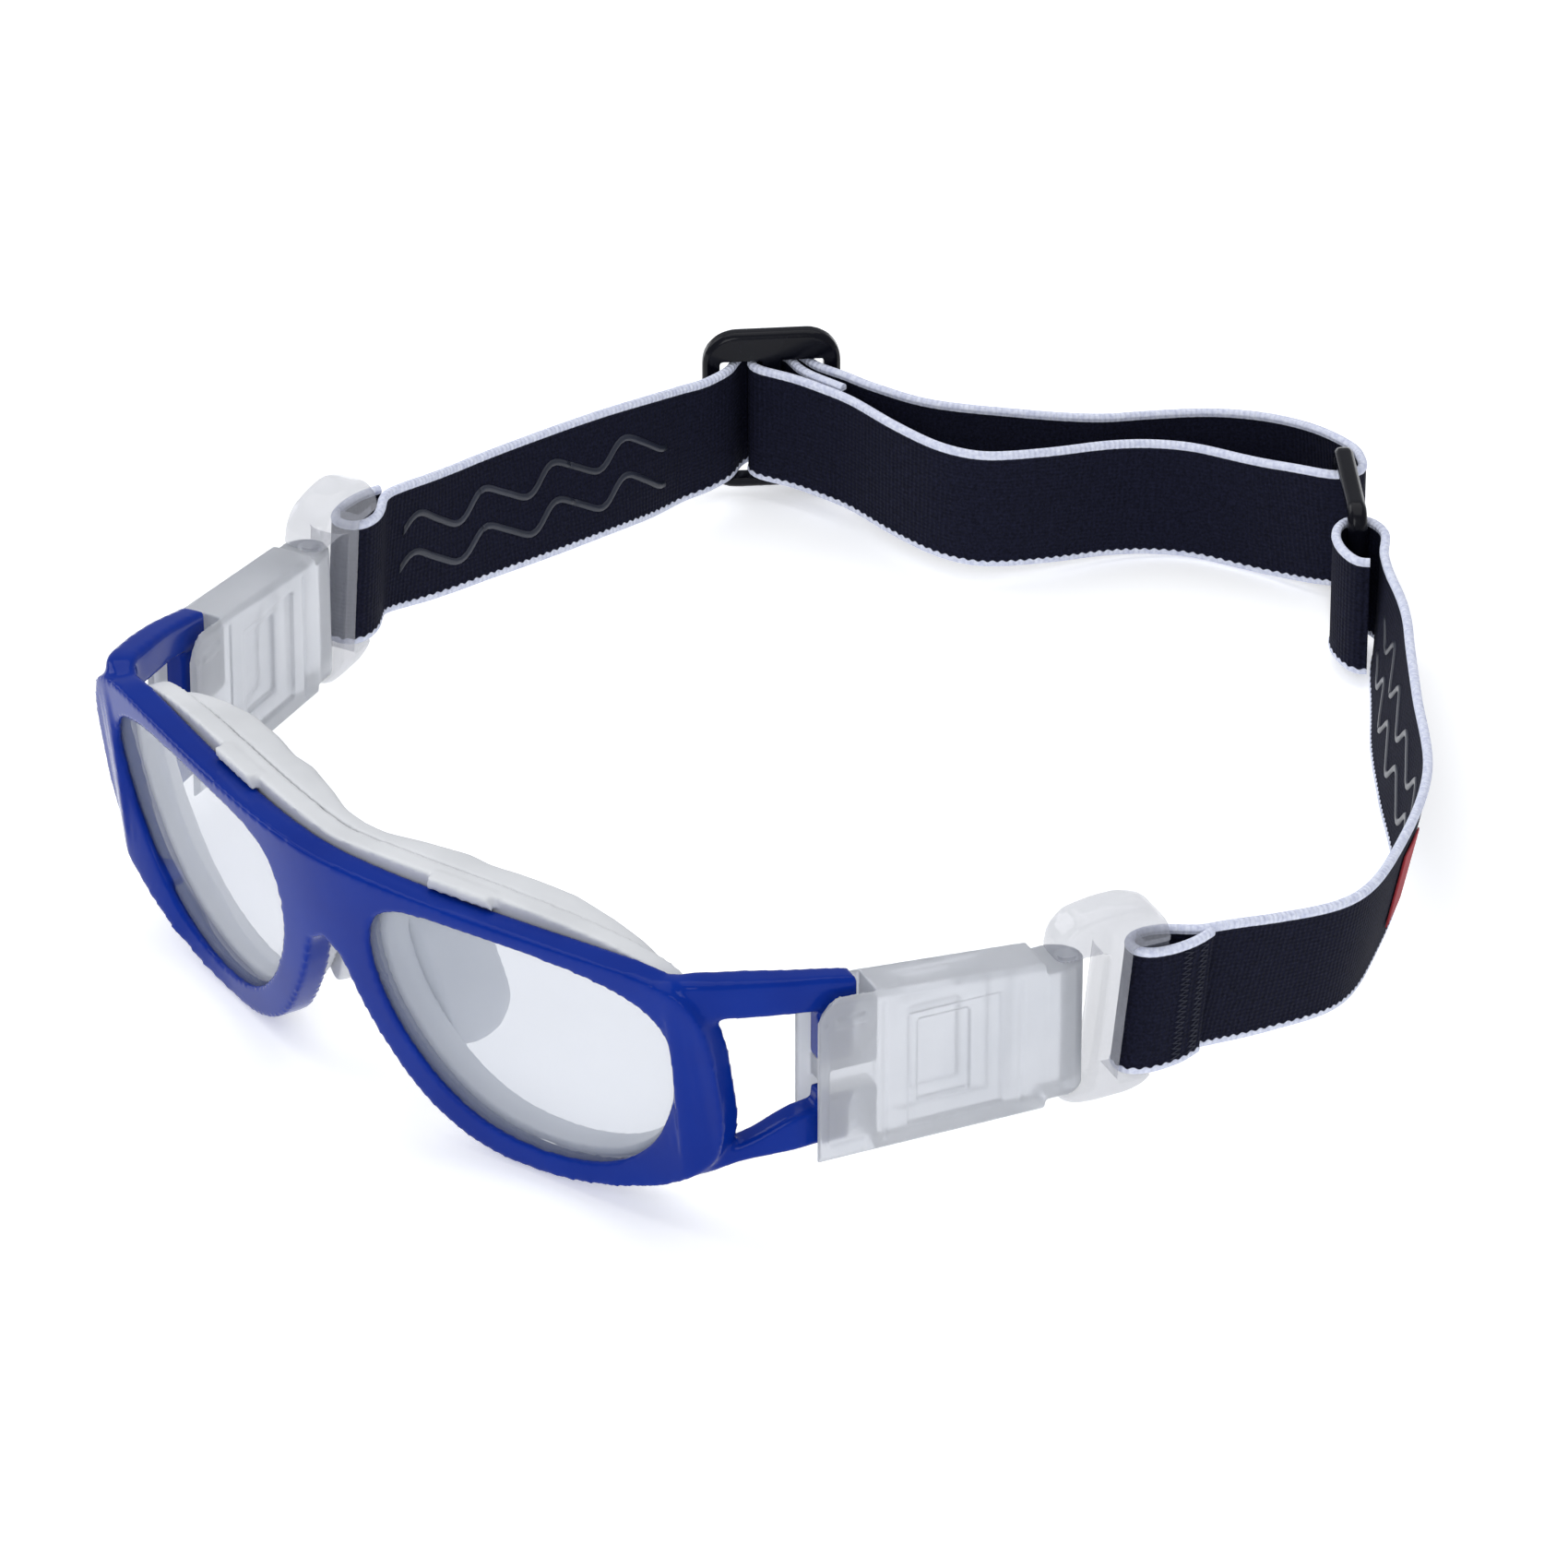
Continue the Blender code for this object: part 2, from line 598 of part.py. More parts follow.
def end_loop_path():
    """The sewn loop round a bracket's rear bar, in (along, across) of the temple."""
    return [
        (57.6, 1.0), (54.6, 2.4), (51.6, 3.0), (48.6, 3.05), (46.0, 2.1), (45.4, 0.0), (46.0, -2.1),
        (48.6, -3.05), (51.6, -2.7), (54.8, -1.3), (57.6, -0.65),
    ]


def make_end_loops():
    middle = 13.0 + STRAP_WIDTH / 2
    for side, name in ((1, "strap_end_loop_left"), (-1, "strap_end_loop_right")):
        stations = []
        for along, across in end_loop_path():
            p = temple_point(along, across, middle, side)
            stations.append((p.x, p.y, p.z, 0.0))
        item = ribbon(name, stations, step=1.6)
        set_origin(item, temple_point(SWIVEL_AT, 0, 24.0, side))


def slider_point(along, inward):
    angle = math.radians(SLIDER_HEADING)
    x = SLIDER_AT[0] + along * math.cos(angle) + inward * math.sin(angle)
    y = SLIDER_AT[1] + along * math.sin(angle) - inward * math.cos(angle)
    return x, y


def ring_point(along, outward):
    angle = math.radians(RING_HEADING)
    x = RING_AT[0] + along * math.cos(angle) - outward * math.sin(angle)
    y = RING_AT[1] + along * math.sin(angle) + outward * math.cos(angle)
    return x, y


def strap_bottom(y):
    """The height of the strap's lower edge, which comes down to the table towards the rear."""
    return max(0.0, 12.5 * (185.0 - y) / 125.0)


def upright(points):
    """Stations of webbing that stands upright on its lower edge."""
    return [(x, y, strap_bottom(y) + STRAP_WIDTH / 2, 0.0) for x, y in points]


STRAP_LEFT_ROUTE = [
    (-87.3, 69.4, 21.9, -2.0), (-88.2, 77.0, 21.0, -6.0), (-89.4, 90.0, 19.5, -12.0), (-90.4, 105.0, 17.9, -14.0),
    (-91.6, 122.0, 16.1, -10.0), (-92.7, 132.4, 15.1, -5.0),
]
SLIDER_WRAP = [
    (-15.4, 9.4), (-11.6, 6.6), (-8.9, 4.2), (-6.6, 1.7), (-5.4, -1.4), (-3.2, -4.0), (0.0, -4.8),
    (3.2, -4.0), (5.3, -1.4), (6.6, 1.4), (8.8, 3.5), (11.6, 5.8), (14.5, 8.6),
]
SLIDER_LOOP = [
    (11.0, 13.3), (6.8, 9.0), (3.2, 5.8), (0.0, 3.7), (-2.7, 1.8), (-3.3, -0.3), (-2.3, -2.2), (0.0, -2.85),
    (2.3, -2.2), (3.3, -0.2), (4.1, 2.4), (6.0, 5.1), (8.6, 7.7), (10.5, 9.6),
]
STRAP_INNER_ROUTE = [
    (-73.9, 152.2), (-63.6, 151.5), (-54.6, 151.8), (-48.7, 154.2), (-45.4, 158.4), (-42.2, 165.6), (-39.4, 173.6),
    (-35.9, 179.8), (-30.8, 184.6), (-23.6, 187.6), (-17.2, 189.4),
]
STRAP_OUTER_ROUTE = [
    (-75.4, 157.9), (-68.6, 160.4), (-63.4, 163.9), (-57.2, 169.5), (-51.2, 175.4), (-46.8, 180.8), (-43.9, 186.0),
    (-39.2, 192.8), (-34.2, 197.6), (-28.1, 201.2), (-21.2, 202.4), (-16.4, 202.0),
]
RING_LEFT_LOOP = [
    (-15.6, 202.0), (-11.6, 200.4), (-8.4, 198.6), (-5.6, 196.4), (-5.4, 194.0), (-7.0, 192.0), (-10.0, 190.8), (-16.4, 189.6),
]
RING_RIGHT_LOOP = [
    (17.4, 176.8), (14.3, 180.0), (12.2, 182.9), (10.0, 184.4), (6.4, 184.6), (4.6, 182.2), (5.4, 179.2),
    (8.2, 176.4), (12.2, 174.6), (15.4, 174.2), (16.2, 175.4),
]
STRAP_RIGHT_ROUTE = [
    (18.3, 176.2, 10.7, 6.0), (23.6, 171.8, 11.2, 10.0), (29.6, 166.4, 11.9, 14.0), (37.6, 158.6, 12.7, 15.0),
    (50.1, 147.2, 14.2, 14.0), (68.6, 130.6, 15.6, 12.0), (82.6, 110.4, 17.4, 11.0), (90.6, 94.4, 19.2, 9.0),
    (89.9, 80.5, 20.7, 5.0), (87.5, 69.4, 22.1, 1.0),
]


def make_straps():
    ribbon("strap_right_run", STRAP_LEFT_ROUTE)
    ribbon("strap_inner_layer", upright(STRAP_INNER_ROUTE))
    ribbon("strap_outer_layer", upright(STRAP_OUTER_ROUTE))
    ribbon("strap_left_run", STRAP_RIGHT_ROUTE)
    middle = SLIDER_WINDOW_Z[0] + 0.3 + STRAP_WIDTH / 2
    for name, path in (("slider_wrap", SLIDER_WRAP), ("slider_loop", SLIDER_LOOP)):
        stations = [(*slider_point(*p), middle, 0.0) for p in path]
        set_origin(ribbon(name, stations, step=1.5), (*SLIDER_AT, 14.0))
    middle = RING_WINDOW_Z[0] + 0.3 + STRAP_WIDTH / 2
    for name, path in (("ring_loop_outer", RING_LEFT_LOOP), ("ring_loop_sewn", RING_RIGHT_LOOP)):
        stations = [(*p, middle, 0.0) for p in path]
        set_origin(ribbon(name, stations, step=1.5), (*RING_AT, 12.0))


def window_frame(name, place, length, z_range, thickness, windows, material):
    """A flat buckle standing on edge, with rounded corners and windows cut through it."""
    corner = 4.0
    bottom, top = z_range
    outline = []
    for sx, sz, start in ((1, -1, 270), (1, 1, 0), (-1, 1, 90), (-1, -1, 180)):
        for i in range(5):
            turn = math.radians(start + 22.5 * i)
            centre_x = sx * (length / 2 - corner)
            centre_z = (top - corner) if sz > 0 else (bottom + corner)
            outline.append((centre_x + corner * math.cos(turn), centre_z + corner * math.sin(turn)))
    half = thickness / 2
    rings = []
    for across, inset in ((-half, 0.6), (-half + 0.6, 0.0), (half - 0.6, 0.0), (half, 0.6)):
        ring = offset_outline(outline, -inset) if inset else outline
        rings.append([Vector((*place(x, across), z)) for x, z in ring])
    buckle = loft(name, rings, material)
    for x_from, x_to, z_from, z_to in windows:
        corners = [(x_from, z_from), (x_to, z_from), (x_to, z_to), (x_from, z_to)]
        cutter = loft(
            "window", [[Vector((*place(x, a), z)) for x, z in corners] for a in (-half - 1, half + 1)],
            None, CUTTERS,
        )
        boolean(buckle, cutter, "DIFFERENCE")
    return buckle


def make_slider():
    low, high = SLIDER_WINDOW_Z
    windows = ((-8.2, -1.5, low, high), (1.5, 8.2, low, high))
    span = (SLIDER_BOTTOM, SLIDER_BOTTOM + SLIDER_HEIGHT)
    slider = window_frame(
        "adjuster_slider", slider_point, SLIDER_LENGTH, span, SLIDER_THICKNESS, windows, SLIDER_BLACK
    )
    set_origin(slider, (*SLIDER_AT, 14.0))


def make_ring():
    low, high = RING_WINDOW_Z
    reach = RING_BAR_SPACING / 2
    window = (-reach + RING_BAR / 2, reach - RING_BAR / 2, low, high)
    ring = window_frame(
        "rear_ring", ring_point, RING_BAR_SPACING + RING_BAR, (0.0, RING_HEIGHT), RING_BAR, (window,), SLIDER_BLACK
    )
    set_origin(ring, (*RING_AT, 12.0))


LABEL_SPAN = (0.585, 0.66)


def make_label():
    """A plain woven label on the outer face of the strap's left run."""
    path = resample(spline(STRAP_RIGHT_ROUTE, 8), 1.0)
    first, last = (round(len(path) * s) for s in LABEL_SPAN)
    stations = []
    for i in range(first, last, 3):
        x, y, z, lean = path[i]
        ahead, behind = path[i + 1], path[i - 1]
        along = Vector((ahead[0] - behind[0], ahead[1] - behind[1], 0)).normalized()
        off = STRAP_THICKNESS / 2 + GAP + 0.25
        stations.append((x - along.y * off, y + along.x * off, z, lean))
    ribbon("woven_label", stations, LABEL_RED, width=12.0, thickness=0.5, step=3.0)


make_frame()
make_lenses()
make_liner()
make_brow_pad()
make_nose_pads()
make_sleeve()
make_bracket()
make_end_loops()
make_straps()
make_slider()
make_ring()
make_label()
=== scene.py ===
"""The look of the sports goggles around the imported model: smooth moulded pieces, clear lenses, frosted
temples and ribbed webbing, on a pale floor under soft light. Lengths are millimetres in goggle
coordinates, as in the CAD: the wearer looks along -Y, +X is the wearer's left, Z = 0 is the table.
"""

import math

import bmesh
import bpy
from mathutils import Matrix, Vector

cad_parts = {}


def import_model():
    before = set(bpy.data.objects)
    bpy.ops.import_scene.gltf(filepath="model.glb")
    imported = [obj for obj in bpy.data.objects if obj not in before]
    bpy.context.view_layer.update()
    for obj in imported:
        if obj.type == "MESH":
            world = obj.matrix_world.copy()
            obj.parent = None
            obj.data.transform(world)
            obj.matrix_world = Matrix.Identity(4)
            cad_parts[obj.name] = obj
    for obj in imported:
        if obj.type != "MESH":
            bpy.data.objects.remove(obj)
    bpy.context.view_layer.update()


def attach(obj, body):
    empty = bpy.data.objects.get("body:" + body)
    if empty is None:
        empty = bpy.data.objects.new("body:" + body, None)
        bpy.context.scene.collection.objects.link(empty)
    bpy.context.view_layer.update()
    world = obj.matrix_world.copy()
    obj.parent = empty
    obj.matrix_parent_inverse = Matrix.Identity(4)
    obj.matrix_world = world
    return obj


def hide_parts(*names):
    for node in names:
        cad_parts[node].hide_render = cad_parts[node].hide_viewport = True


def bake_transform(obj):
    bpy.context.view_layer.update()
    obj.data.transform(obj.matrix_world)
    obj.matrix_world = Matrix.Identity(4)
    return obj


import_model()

MM = 0.001
FOOTPRINT_MIDDLE = (-3.05, 89.75)

# ---------------------------------------------------------------- shapes shared with the CAD

FRONT_Y = -20.15
WRAP_SLOPE = 0.284
WRAP_ROUND = 17.8
FRONT_LEAN = 0.168
LEAN_PIVOT_Z = 23.7
CHIN = 1.8
LENS_OPENING = [
    (9.8, 30.5), (11.4, 36.6), (16.5, 39.8), (26.0, 40.5), (38.0, 40.4), (49.0, 39.4),
    (56.6, 36.6), (59.6, 31.0), (58.6, 22.5), (55.0, 14.6), (50.0, 9.2), (43.5, 5.9),
    (35.0, 4.6), (26.5, 5.9), (20.0, 9.7), (14.6, 16.0), (11.0, 23.2),
]
RIM_OUTLINE = [
    (0.0, 43.4), (10.0, 43.5), (22.0, 43.3), (36.0, 43.1), (49.0, 42.9), (57.0, 42.6), (63.0, 40.6),
    (65.8, 35.0), (66.4, 27.0), (66.0, 19.0), (63.4, 12.4), (57.6, 7.8), (51.0, 5.0), (45.0, 2.9),
    (39.6, 1.5), (33.6, 0.7), (27.0, 1.0), (20.6, 3.2), (14.6, 7.6), (9.4, 14.4), (6.0, 20.4), (3.2, 26.6),
    (0.0, 28.8),
]
FRAME_DEPTH = 4.6
LENS_THICKNESS = 2.0
LENS_DEPTH = 1.2
LENS_SEAT = 1.1
GAP = 0.3
# The arms' stations after their roots: x, y, bottom, top, width.
UPPER_ARM = [
    (59.2, -7.4, 37.6, 42.7, 3.9), (61.8, -5.6, 37.2, 43.1, 4.6), (64.6, -0.2, 36.4, 42.3, 4.6),
    (67.4, 6.0, 35.6, 41.2, 4.3), (69.15, 11.15, 34.8, 40.2, 4.0), (70.62, 15.53, 34.2, 39.2, 3.9),
]
LOWER_ARM = [
    (56.4, -4.6, 8.6, 13.0, 4.0), (60.6, -2.9, 10.2, 14.4, 4.4), (64.0, 0.8, 12.4, 15.4, 4.4),
    (67.3, 6.0, 13.2, 18.6, 4.3), (68.65, 9.66, 13.4, 19.4, 4.0), (70.19, 14.27, 13.4, 19.4, 3.9),
]
ARM_THICKNESS = 4.3
UPPER_TAB_Z = (26.6, 34.4)
LOWER_TAB_Z = (19.0, 21.6)
TAB_ALONG = (-2.6, 2.6)

TEMPLE_SPLAY = 18.5
HINGE_XY = (69.6, 12.5)
SLEEVE_THICKNESS = 8.0
SLEEVE_SLOT = 6.1
SLOT_REAR = 5.6
WEB_FRONT = -1.8
WEB_Z = (22.3, 25.9)
SLEEVE_FRONT = -3.6
SLEEVE_REAR = 38.6
SLEEVE_BOTTOM = 11.3
SLEEVE_TOP_FRONT = 38.1
SLEEVE_TOP_REAR = 34.6
NECK_START = 31.6
NECK_BOTTOM = 14.6
NECK_TOP = 31.9
SWIVEL_AT = 36.4
SWIVEL_RADIUS = 1.3
BORE_RADIUS = 1.7
BRACKET_WIDTH = 6.6
LOOP_LEAN = 0.11
LEAN_FROM = 37.0
LEAN_UNTIL = 78.0
LOOP_MIDDLE_Z = 23.0

STRAP_WIDTH = 20.0
SCALLOP_PITCH = 1.5
RIB_PITCH = 0.85
BUCKLE_HALF = 1.5
SLIDER_AT = (-91.7, 151.5)
SLIDER_HEADING = 52.3
SLIDER_LENGTH = 22.0
SLIDER_Z = (1.2, 28.8)
SLIDER_WINDOW_Z = (3.2, 23.9)
RING_AT = (-0.6, 188.2)
RING_HEADING = -39.3
RING_LENGTH = 24.3
RING_Z = (0.0, 25.4)
RING_WINDOW_Z = (1.9, 23.5)
RING_BAR_SPACING = 21.3


def world(point):
    """A place in the CAD's frame, in metres, from goggle coordinates in millimetres."""
    return Vector((
        (point[0] - FOOTPRINT_MIDDLE[0]) * MM,
        (point[1] - FOOTPRINT_MIDDLE[1]) * MM,
        point[2] * MM,
    ))


def goggle(place):
    """The inverse of world(): x, y, z in millimetres."""
    return place.x / MM + FOOTPRINT_MIDDLE[0], place.y / MM + FOOTPRINT_MIDDLE[1], place.z / MM


def spline(points, steps, closed=False):
    count = len(points)
    dense = []
    for i in range(count if closed else count - 1):
        if closed:
            p0, p1, p2, p3 = (points[(i + k) % count] for k in (-1, 0, 1, 2))
        else:
            p0, p1 = points[max(i - 1, 0)], points[i]
            p2, p3 = points[i + 1], points[min(i + 2, count - 1)]
        for k in range(steps):
            t = k / steps
            dense.append(tuple(
                0.5 * (2 * b + (c - a) * t + (2 * a - 5 * b + 4 * c - d) * t ** 2
                       + (3 * b - a - 3 * c + d) * t ** 3)
                for a, b, c, d in zip(p0, p1, p2, p3)
            ))
    if not closed:
        dense.append(tuple(points[-1]))
    return dense


def resample(points, step):
    lengths = [0.0]
    for a, b in zip(points, points[1:]):
        lengths.append(lengths[-1] + math.dist(a[:3], b[:3]))
    count = max(2, round(lengths[-1] / step))
    even = []
    j = 0
    for i in range(count + 1):
        goal = lengths[-1] * i / count
        while j < len(lengths) - 2 and lengths[j + 1] < goal:
            j += 1
        span = lengths[j + 1] - lengths[j]
        t = (goal - lengths[j]) / span if span else 0.0
        even.append(tuple(a + (b - a) * t for a, b in zip(points[j], points[j + 1])))
    return even


def offset_outline(points, distance):
    """The closed outline moved outwards by distance, or inwards where it is negative."""
    area = sum(a[0] * b[1] - b[0] * a[1] for a, b in zip(points, points[1:] + points[:1]))
    side = 1.0 if area > 0 else -1.0
    moved = []
    for i, here in enumerate(points):
        before, after = points[i - 1], points[(i + 1) % len(points)]
        along = Vector((after[0] - before[0], after[1] - before[1])).normalized()
        moved.append((here[0] + side * along.y * distance, here[1] - side * along.x * distance))
    return moved


def ease(t):
    t = min(max(t, 0.0), 1.0)
    return t * t * (3 - 2 * t)


def chin(x, z):
    """How far the rim's lower outer band stands forward of the lens surface."""
    lens_edge = 2.8 + 9.6 * (max(abs(x) - 35.0, 0.0) / 20.0) ** 2.2
    return CHIN * ease((abs(x) - 31.0) / 13.0) * ease((lens_edge - z) / 3.0) * ease((14.0 - z) / 5.0)


def front_point(x, z, depth, chin_share=1.0):
    """A point depth behind the frame's curved, leaning front."""
    root = math.hypot(x, WRAP_ROUND)
    slope = WRAP_SLOPE * x / root
    normal = Vector((-slope, 1.0)).normalized()
    surface = FRONT_Y + WRAP_SLOPE * (root - WRAP_ROUND) - FRONT_LEAN * (z - LEAN_PIVOT_Z)
    surface -= chin_share * chin(x, z)
    return Vector((x + depth * normal.x, surface + depth * normal.y, z))


def temple_point(along, across, z, side=1):
    """A point on a temple: along it to the rear from its hinge, and across it outwards."""
    angle = math.radians(TEMPLE_SPLAY)
    x = HINGE_XY[0] + along * math.sin(angle) + across * math.cos(angle)
    y = HINGE_XY[1] + along * math.cos(angle) - across * math.sin(angle)
    return Vector((side * x, y, z))


def slider_point(along, inward):
    angle = math.radians(SLIDER_HEADING)
    x = SLIDER_AT[0] + along * math.cos(angle) + inward * math.sin(angle)
    y = SLIDER_AT[1] + along * math.sin(angle) - inward * math.cos(angle)
    return x, y


def ring_point(along, outward):
    angle = math.radians(RING_HEADING)
    x = RING_AT[0] + along * math.cos(angle) - outward * math.sin(angle)
    y = RING_AT[1] + along * math.sin(angle) + outward * math.cos(angle)
    return x, y


def half_to_full(points):
    return points + [(-x, z) for x, z in reversed(points[1:-1])]


# ---------------------------------------------------------------- materials

def nodes_of(name):
    material = bpy.data.materials.new(name)
    material.use_nodes = True
    tree = material.node_tree
    return material, tree, tree.nodes["Principled BSDF"]


def link_noise(tree, scale, detail=2.0, rough=0.5):
    place = tree.nodes.new("ShaderNodeTexCoord")
    cloud = tree.nodes.new("ShaderNodeTexNoise")
    cloud.inputs["Scale"].default_value = scale
    cloud.inputs["Detail"].default_value = detail
    cloud.inputs["Roughness"].default_value = rough
    tree.links.new(place.outputs["Object"], cloud.inputs["Vector"])
    return cloud.outputs["Fac"]


def ramp(tree, value, low, high, low_at=0.35, high_at=0.65):
    blend = tree.nodes.new("ShaderNodeValToRGB")
    blend.color_ramp.elements[0].position = low_at
    blend.color_ramp.elements[1].position = high_at
    blend.color_ramp.elements[0].color = (*low, 1.0)
    blend.color_ramp.elements[1].color = (*high, 1.0)
    tree.links.new(value, blend.inputs["Fac"])
    return blend.outputs["Color"]


def math_node(tree, operation, *values):
    node = tree.nodes.new("ShaderNodeMath")
    node.operation = operation
    for i, value in enumerate(values):
        if isinstance(value, (int, float)):
            node.inputs[i].default_value = value
        else:
            tree.links.new(value, node.inputs[i])
    return node.outputs[0]


def add_bump(tree, shader, height, strength, distance):
    bump = tree.nodes.new("ShaderNodeBump")
    bump.inputs["Strength"].default_value = strength
    bump.inputs["Distance"].default_value = distance
    tree.links.new(height, bump.inputs["Height"])
    tree.links.new(bump.outputs["Normal"], shader.inputs["Normal"])


def moulded(name, low, high, roughness, bump=0.0, scale=900.0, **sockets):
    """A moulded plastic or rubber: slightly clouded colour, and a fine surface texture."""
    material, tree, shader = nodes_of(name)
    tree.links.new(ramp(tree, link_noise(tree, 60.0, 3.0), low, high), shader.inputs["Base Color"])
    shader.inputs["Roughness"].default_value = roughness
    for socket, value in sockets.items():
        shader.inputs[socket.replace("_", " ")].default_value = value
    if bump:
        add_bump(tree, shader, link_noise(tree, scale, 2.0), bump, 0.0001)
    return material


def webbing_material():
    """Ribbed elastic webbing with pale edges. U runs across the width, from the lower edge, and V along it."""
    material, tree, shader = nodes_of("webbing")
    place = tree.nodes.new("ShaderNodeUVMap")
    parts = tree.nodes.new("ShaderNodeSeparateXYZ")
    tree.links.new(place.outputs["UV"], parts.inputs[0])
    across, along = parts.outputs[0], parts.outputs[1]
    edge = math_node(tree, "ABSOLUTE", math_node(tree, "SUBTRACT", across, 0.5))
    scallops = math_node(tree, "MULTIPLY", along, 2 * math.pi * STRAP_WIDTH / SCALLOP_PITCH)
    ripple = math_node(tree, "SINE", scallops)
    fuzz = link_noise(tree, 1400.0, 2.0)
    # Only the lower edge is scalloped.
    lower = math_node(tree, "MULTIPLY", math_node(tree, "SUBTRACT", 1.0, across), 0.007)
    edge = math_node(tree, "ADD", edge, math_node(tree, "MULTIPLY", ripple, lower))
    uneven = math_node(tree, "MULTIPLY", math_node(tree, "SUBTRACT", fuzz, 0.5), 0.004)
    edge = math_node(tree, "ADD", edge, uneven)
    span = tree.nodes.new("ShaderNodeMapRange")
    span.inputs["From Min"].default_value = 0.444
    span.inputs["From Max"].default_value = 0.450
    tree.links.new(edge, span.inputs["Value"])
    yarn = link_noise(tree, 2200.0, 3.0, 0.7)
    navy = ramp(tree, yarn, (0.0022, 0.0026, 0.0090), (0.0110, 0.0125, 0.0320), 0.35, 0.78)
    pale = ramp(tree, fuzz, (0.56, 0.59, 0.74), (0.76, 0.79, 0.90), 0.3, 0.7)
    mix = tree.nodes.new("ShaderNodeMix")
    mix.data_type = "RGBA"
    tree.links.new(span.outputs[0], mix.inputs["Factor"])
    tree.links.new(navy, mix.inputs[6])
    tree.links.new(pale, mix.inputs[7])
    tree.links.new(mix.outputs[2], shader.inputs["Base Color"])
    shader.inputs["Roughness"].default_value = 0.85
    shader.inputs["Specular IOR Level"].default_value = 0.12
    ribs = math_node(tree, "SINE", math_node(tree, "MULTIPLY", along, 2 * math.pi * STRAP_WIDTH / RIB_PITCH))
    threads = math_node(tree, "SINE", math_node(tree, "MULTIPLY", across, 2 * math.pi * 30.0))
    weave = math_node(tree, "ADD", ribs, math_node(tree, "MULTIPLY", threads, 0.5))
    weave = math_node(tree, "ADD", weave, math_node(tree, "MULTIPLY", fuzz, 2.0))
    add_bump(tree, shader, weave, 0.55, 0.00012)
    return material


BLUE = moulded(
    "frame_blue_gloss", (0.0016, 0.0200, 0.220), (0.0024, 0.0250, 0.250), 0.13, 0.02, 500.0,
    IOR=1.22, Specular_IOR_Level=0.4,
)
SILICONE = moulded(
    "liner_silicone_soft", (0.60, 0.61, 0.625), (0.68, 0.69, 0.705), 0.42, 0.05, 700.0,
    Specular_IOR_Level=0.35,
)
FROSTED = moulded(
    "sleeve_frosted", (0.66, 0.68, 0.72), (0.74, 0.755, 0.79), 0.33, 0.06, 1100.0,
    Transmission_Weight=0.66, Specular_IOR_Level=0.4,
)
CLEAR = moulded(
    "bracket_clear", (0.27, 0.28, 0.33), (0.38, 0.39, 0.44), 0.07, 0.02, 300.0,
    Alpha=0.33, Coat_Weight=0.6, Coat_Roughness=0.03,
)
BLACK = moulded(
    "buckle_black", (0.0020, 0.0022, 0.005), (0.004, 0.0045, 0.008), 0.2, 0.04, 1500.0,
    IOR=1.3, Specular_IOR_Level=0.4,
)
GRIP = moulded(
    "grip_silicone", (0.014, 0.017, 0.028), (0.024, 0.028, 0.044), 0.3, 0.1, 900.0, Specular_IOR_Level=0.4,
)
LABEL = moulded("label_weave", (0.30, 0.015, 0.025), (0.42, 0.03, 0.04), 0.8, 0.5, 2600.0)
THREAD = moulded("thread_navy", (0.02, 0.022, 0.04), (0.05, 0.055, 0.08), 0.8, 0.4, 3000.0)
WEBBING = webbing_material()


def lens_material():
    material, tree, shader = nodes_of("lens_polycarbonate")
    tint = ramp(tree, link_noise(tree, 25.0), (0.34, 0.38, 0.46), (0.40, 0.44, 0.52))
    tree.links.new(tint, shader.inputs["Base Color"])
    shader.inputs["Roughness"].default_value = 0.03
    shader.inputs["Alpha"].default_value = 0.31
    shader.inputs["Coat Weight"].default_value = 0.5
    shader.inputs["Coat Roughness"].default_value = 0.02
    return material


LENS = lens_material()


# ---------------------------------------------------------------- mesh building

def piece(name, mesh, material=None):
    item = bpy.data.objects.new(name, mesh)
    bpy.context.scene.collection.objects.link(item)
    if material:
        mesh.materials.append(material)
    for face in mesh.polygons:
        face.use_smooth = True
    return item


def loft(name, rings, material=None):
    """A closed skin over rings of points, capped at both ends."""
    form = bmesh.new()
    placed = [[form.verts.new(world(p)) for p in ring] for ring in rings]
    around = len(rings[0])
    for first, second in zip(placed, placed[1:]):
        for j in range(around):
            k = (j + 1) % around
            form.faces.new((first[j], first[k], second[k], second[j]))
    form.faces.new(placed[0])
    form.faces.new(list(reversed(placed[-1])))
    bmesh.ops.recalc_face_normals(form, faces=form.faces)
    if form.calc_volume(signed=True) < 0:
        bmesh.ops.reverse_faces(form, faces=form.faces)
    mesh = bpy.data.meshes.new(name)
    form.to_mesh(mesh)
    form.free()
    return piece(name, mesh, material)


def settle(item):
    """Applies the modifiers to the mesh."""
    graph = bpy.context.evaluated_depsgraph_get()
    graph.update()
    result = bpy.data.meshes.new_from_object(item.evaluated_get(graph))
    item.modifiers.clear()
    item.data = result
    for face in result.polygons:
        face.use_smooth = True


def boolean(target, tool, operation):
    cut = target.modifiers.new("boolean", "BOOLEAN")
    cut.operation = operation
    cut.object = tool
    cut.solver = "EXACT"
    settle(target)
    bpy.data.objects.remove(tool, do_unlink=True)


def soften(item, voxel, rounds, factor=0.5):
    """Remeshes a piece evenly and rounds its edges, as a moulded piece's are."""
    remesh = item.modifiers.new("remesh", "REMESH")
    remesh.mode = "VOXEL"
    remesh.voxel_size = voxel * MM
    smooth = item.modifiers.new("smooth", "SMOOTH")
    smooth.factor = factor
    smooth.iterations = rounds
    settle(item)


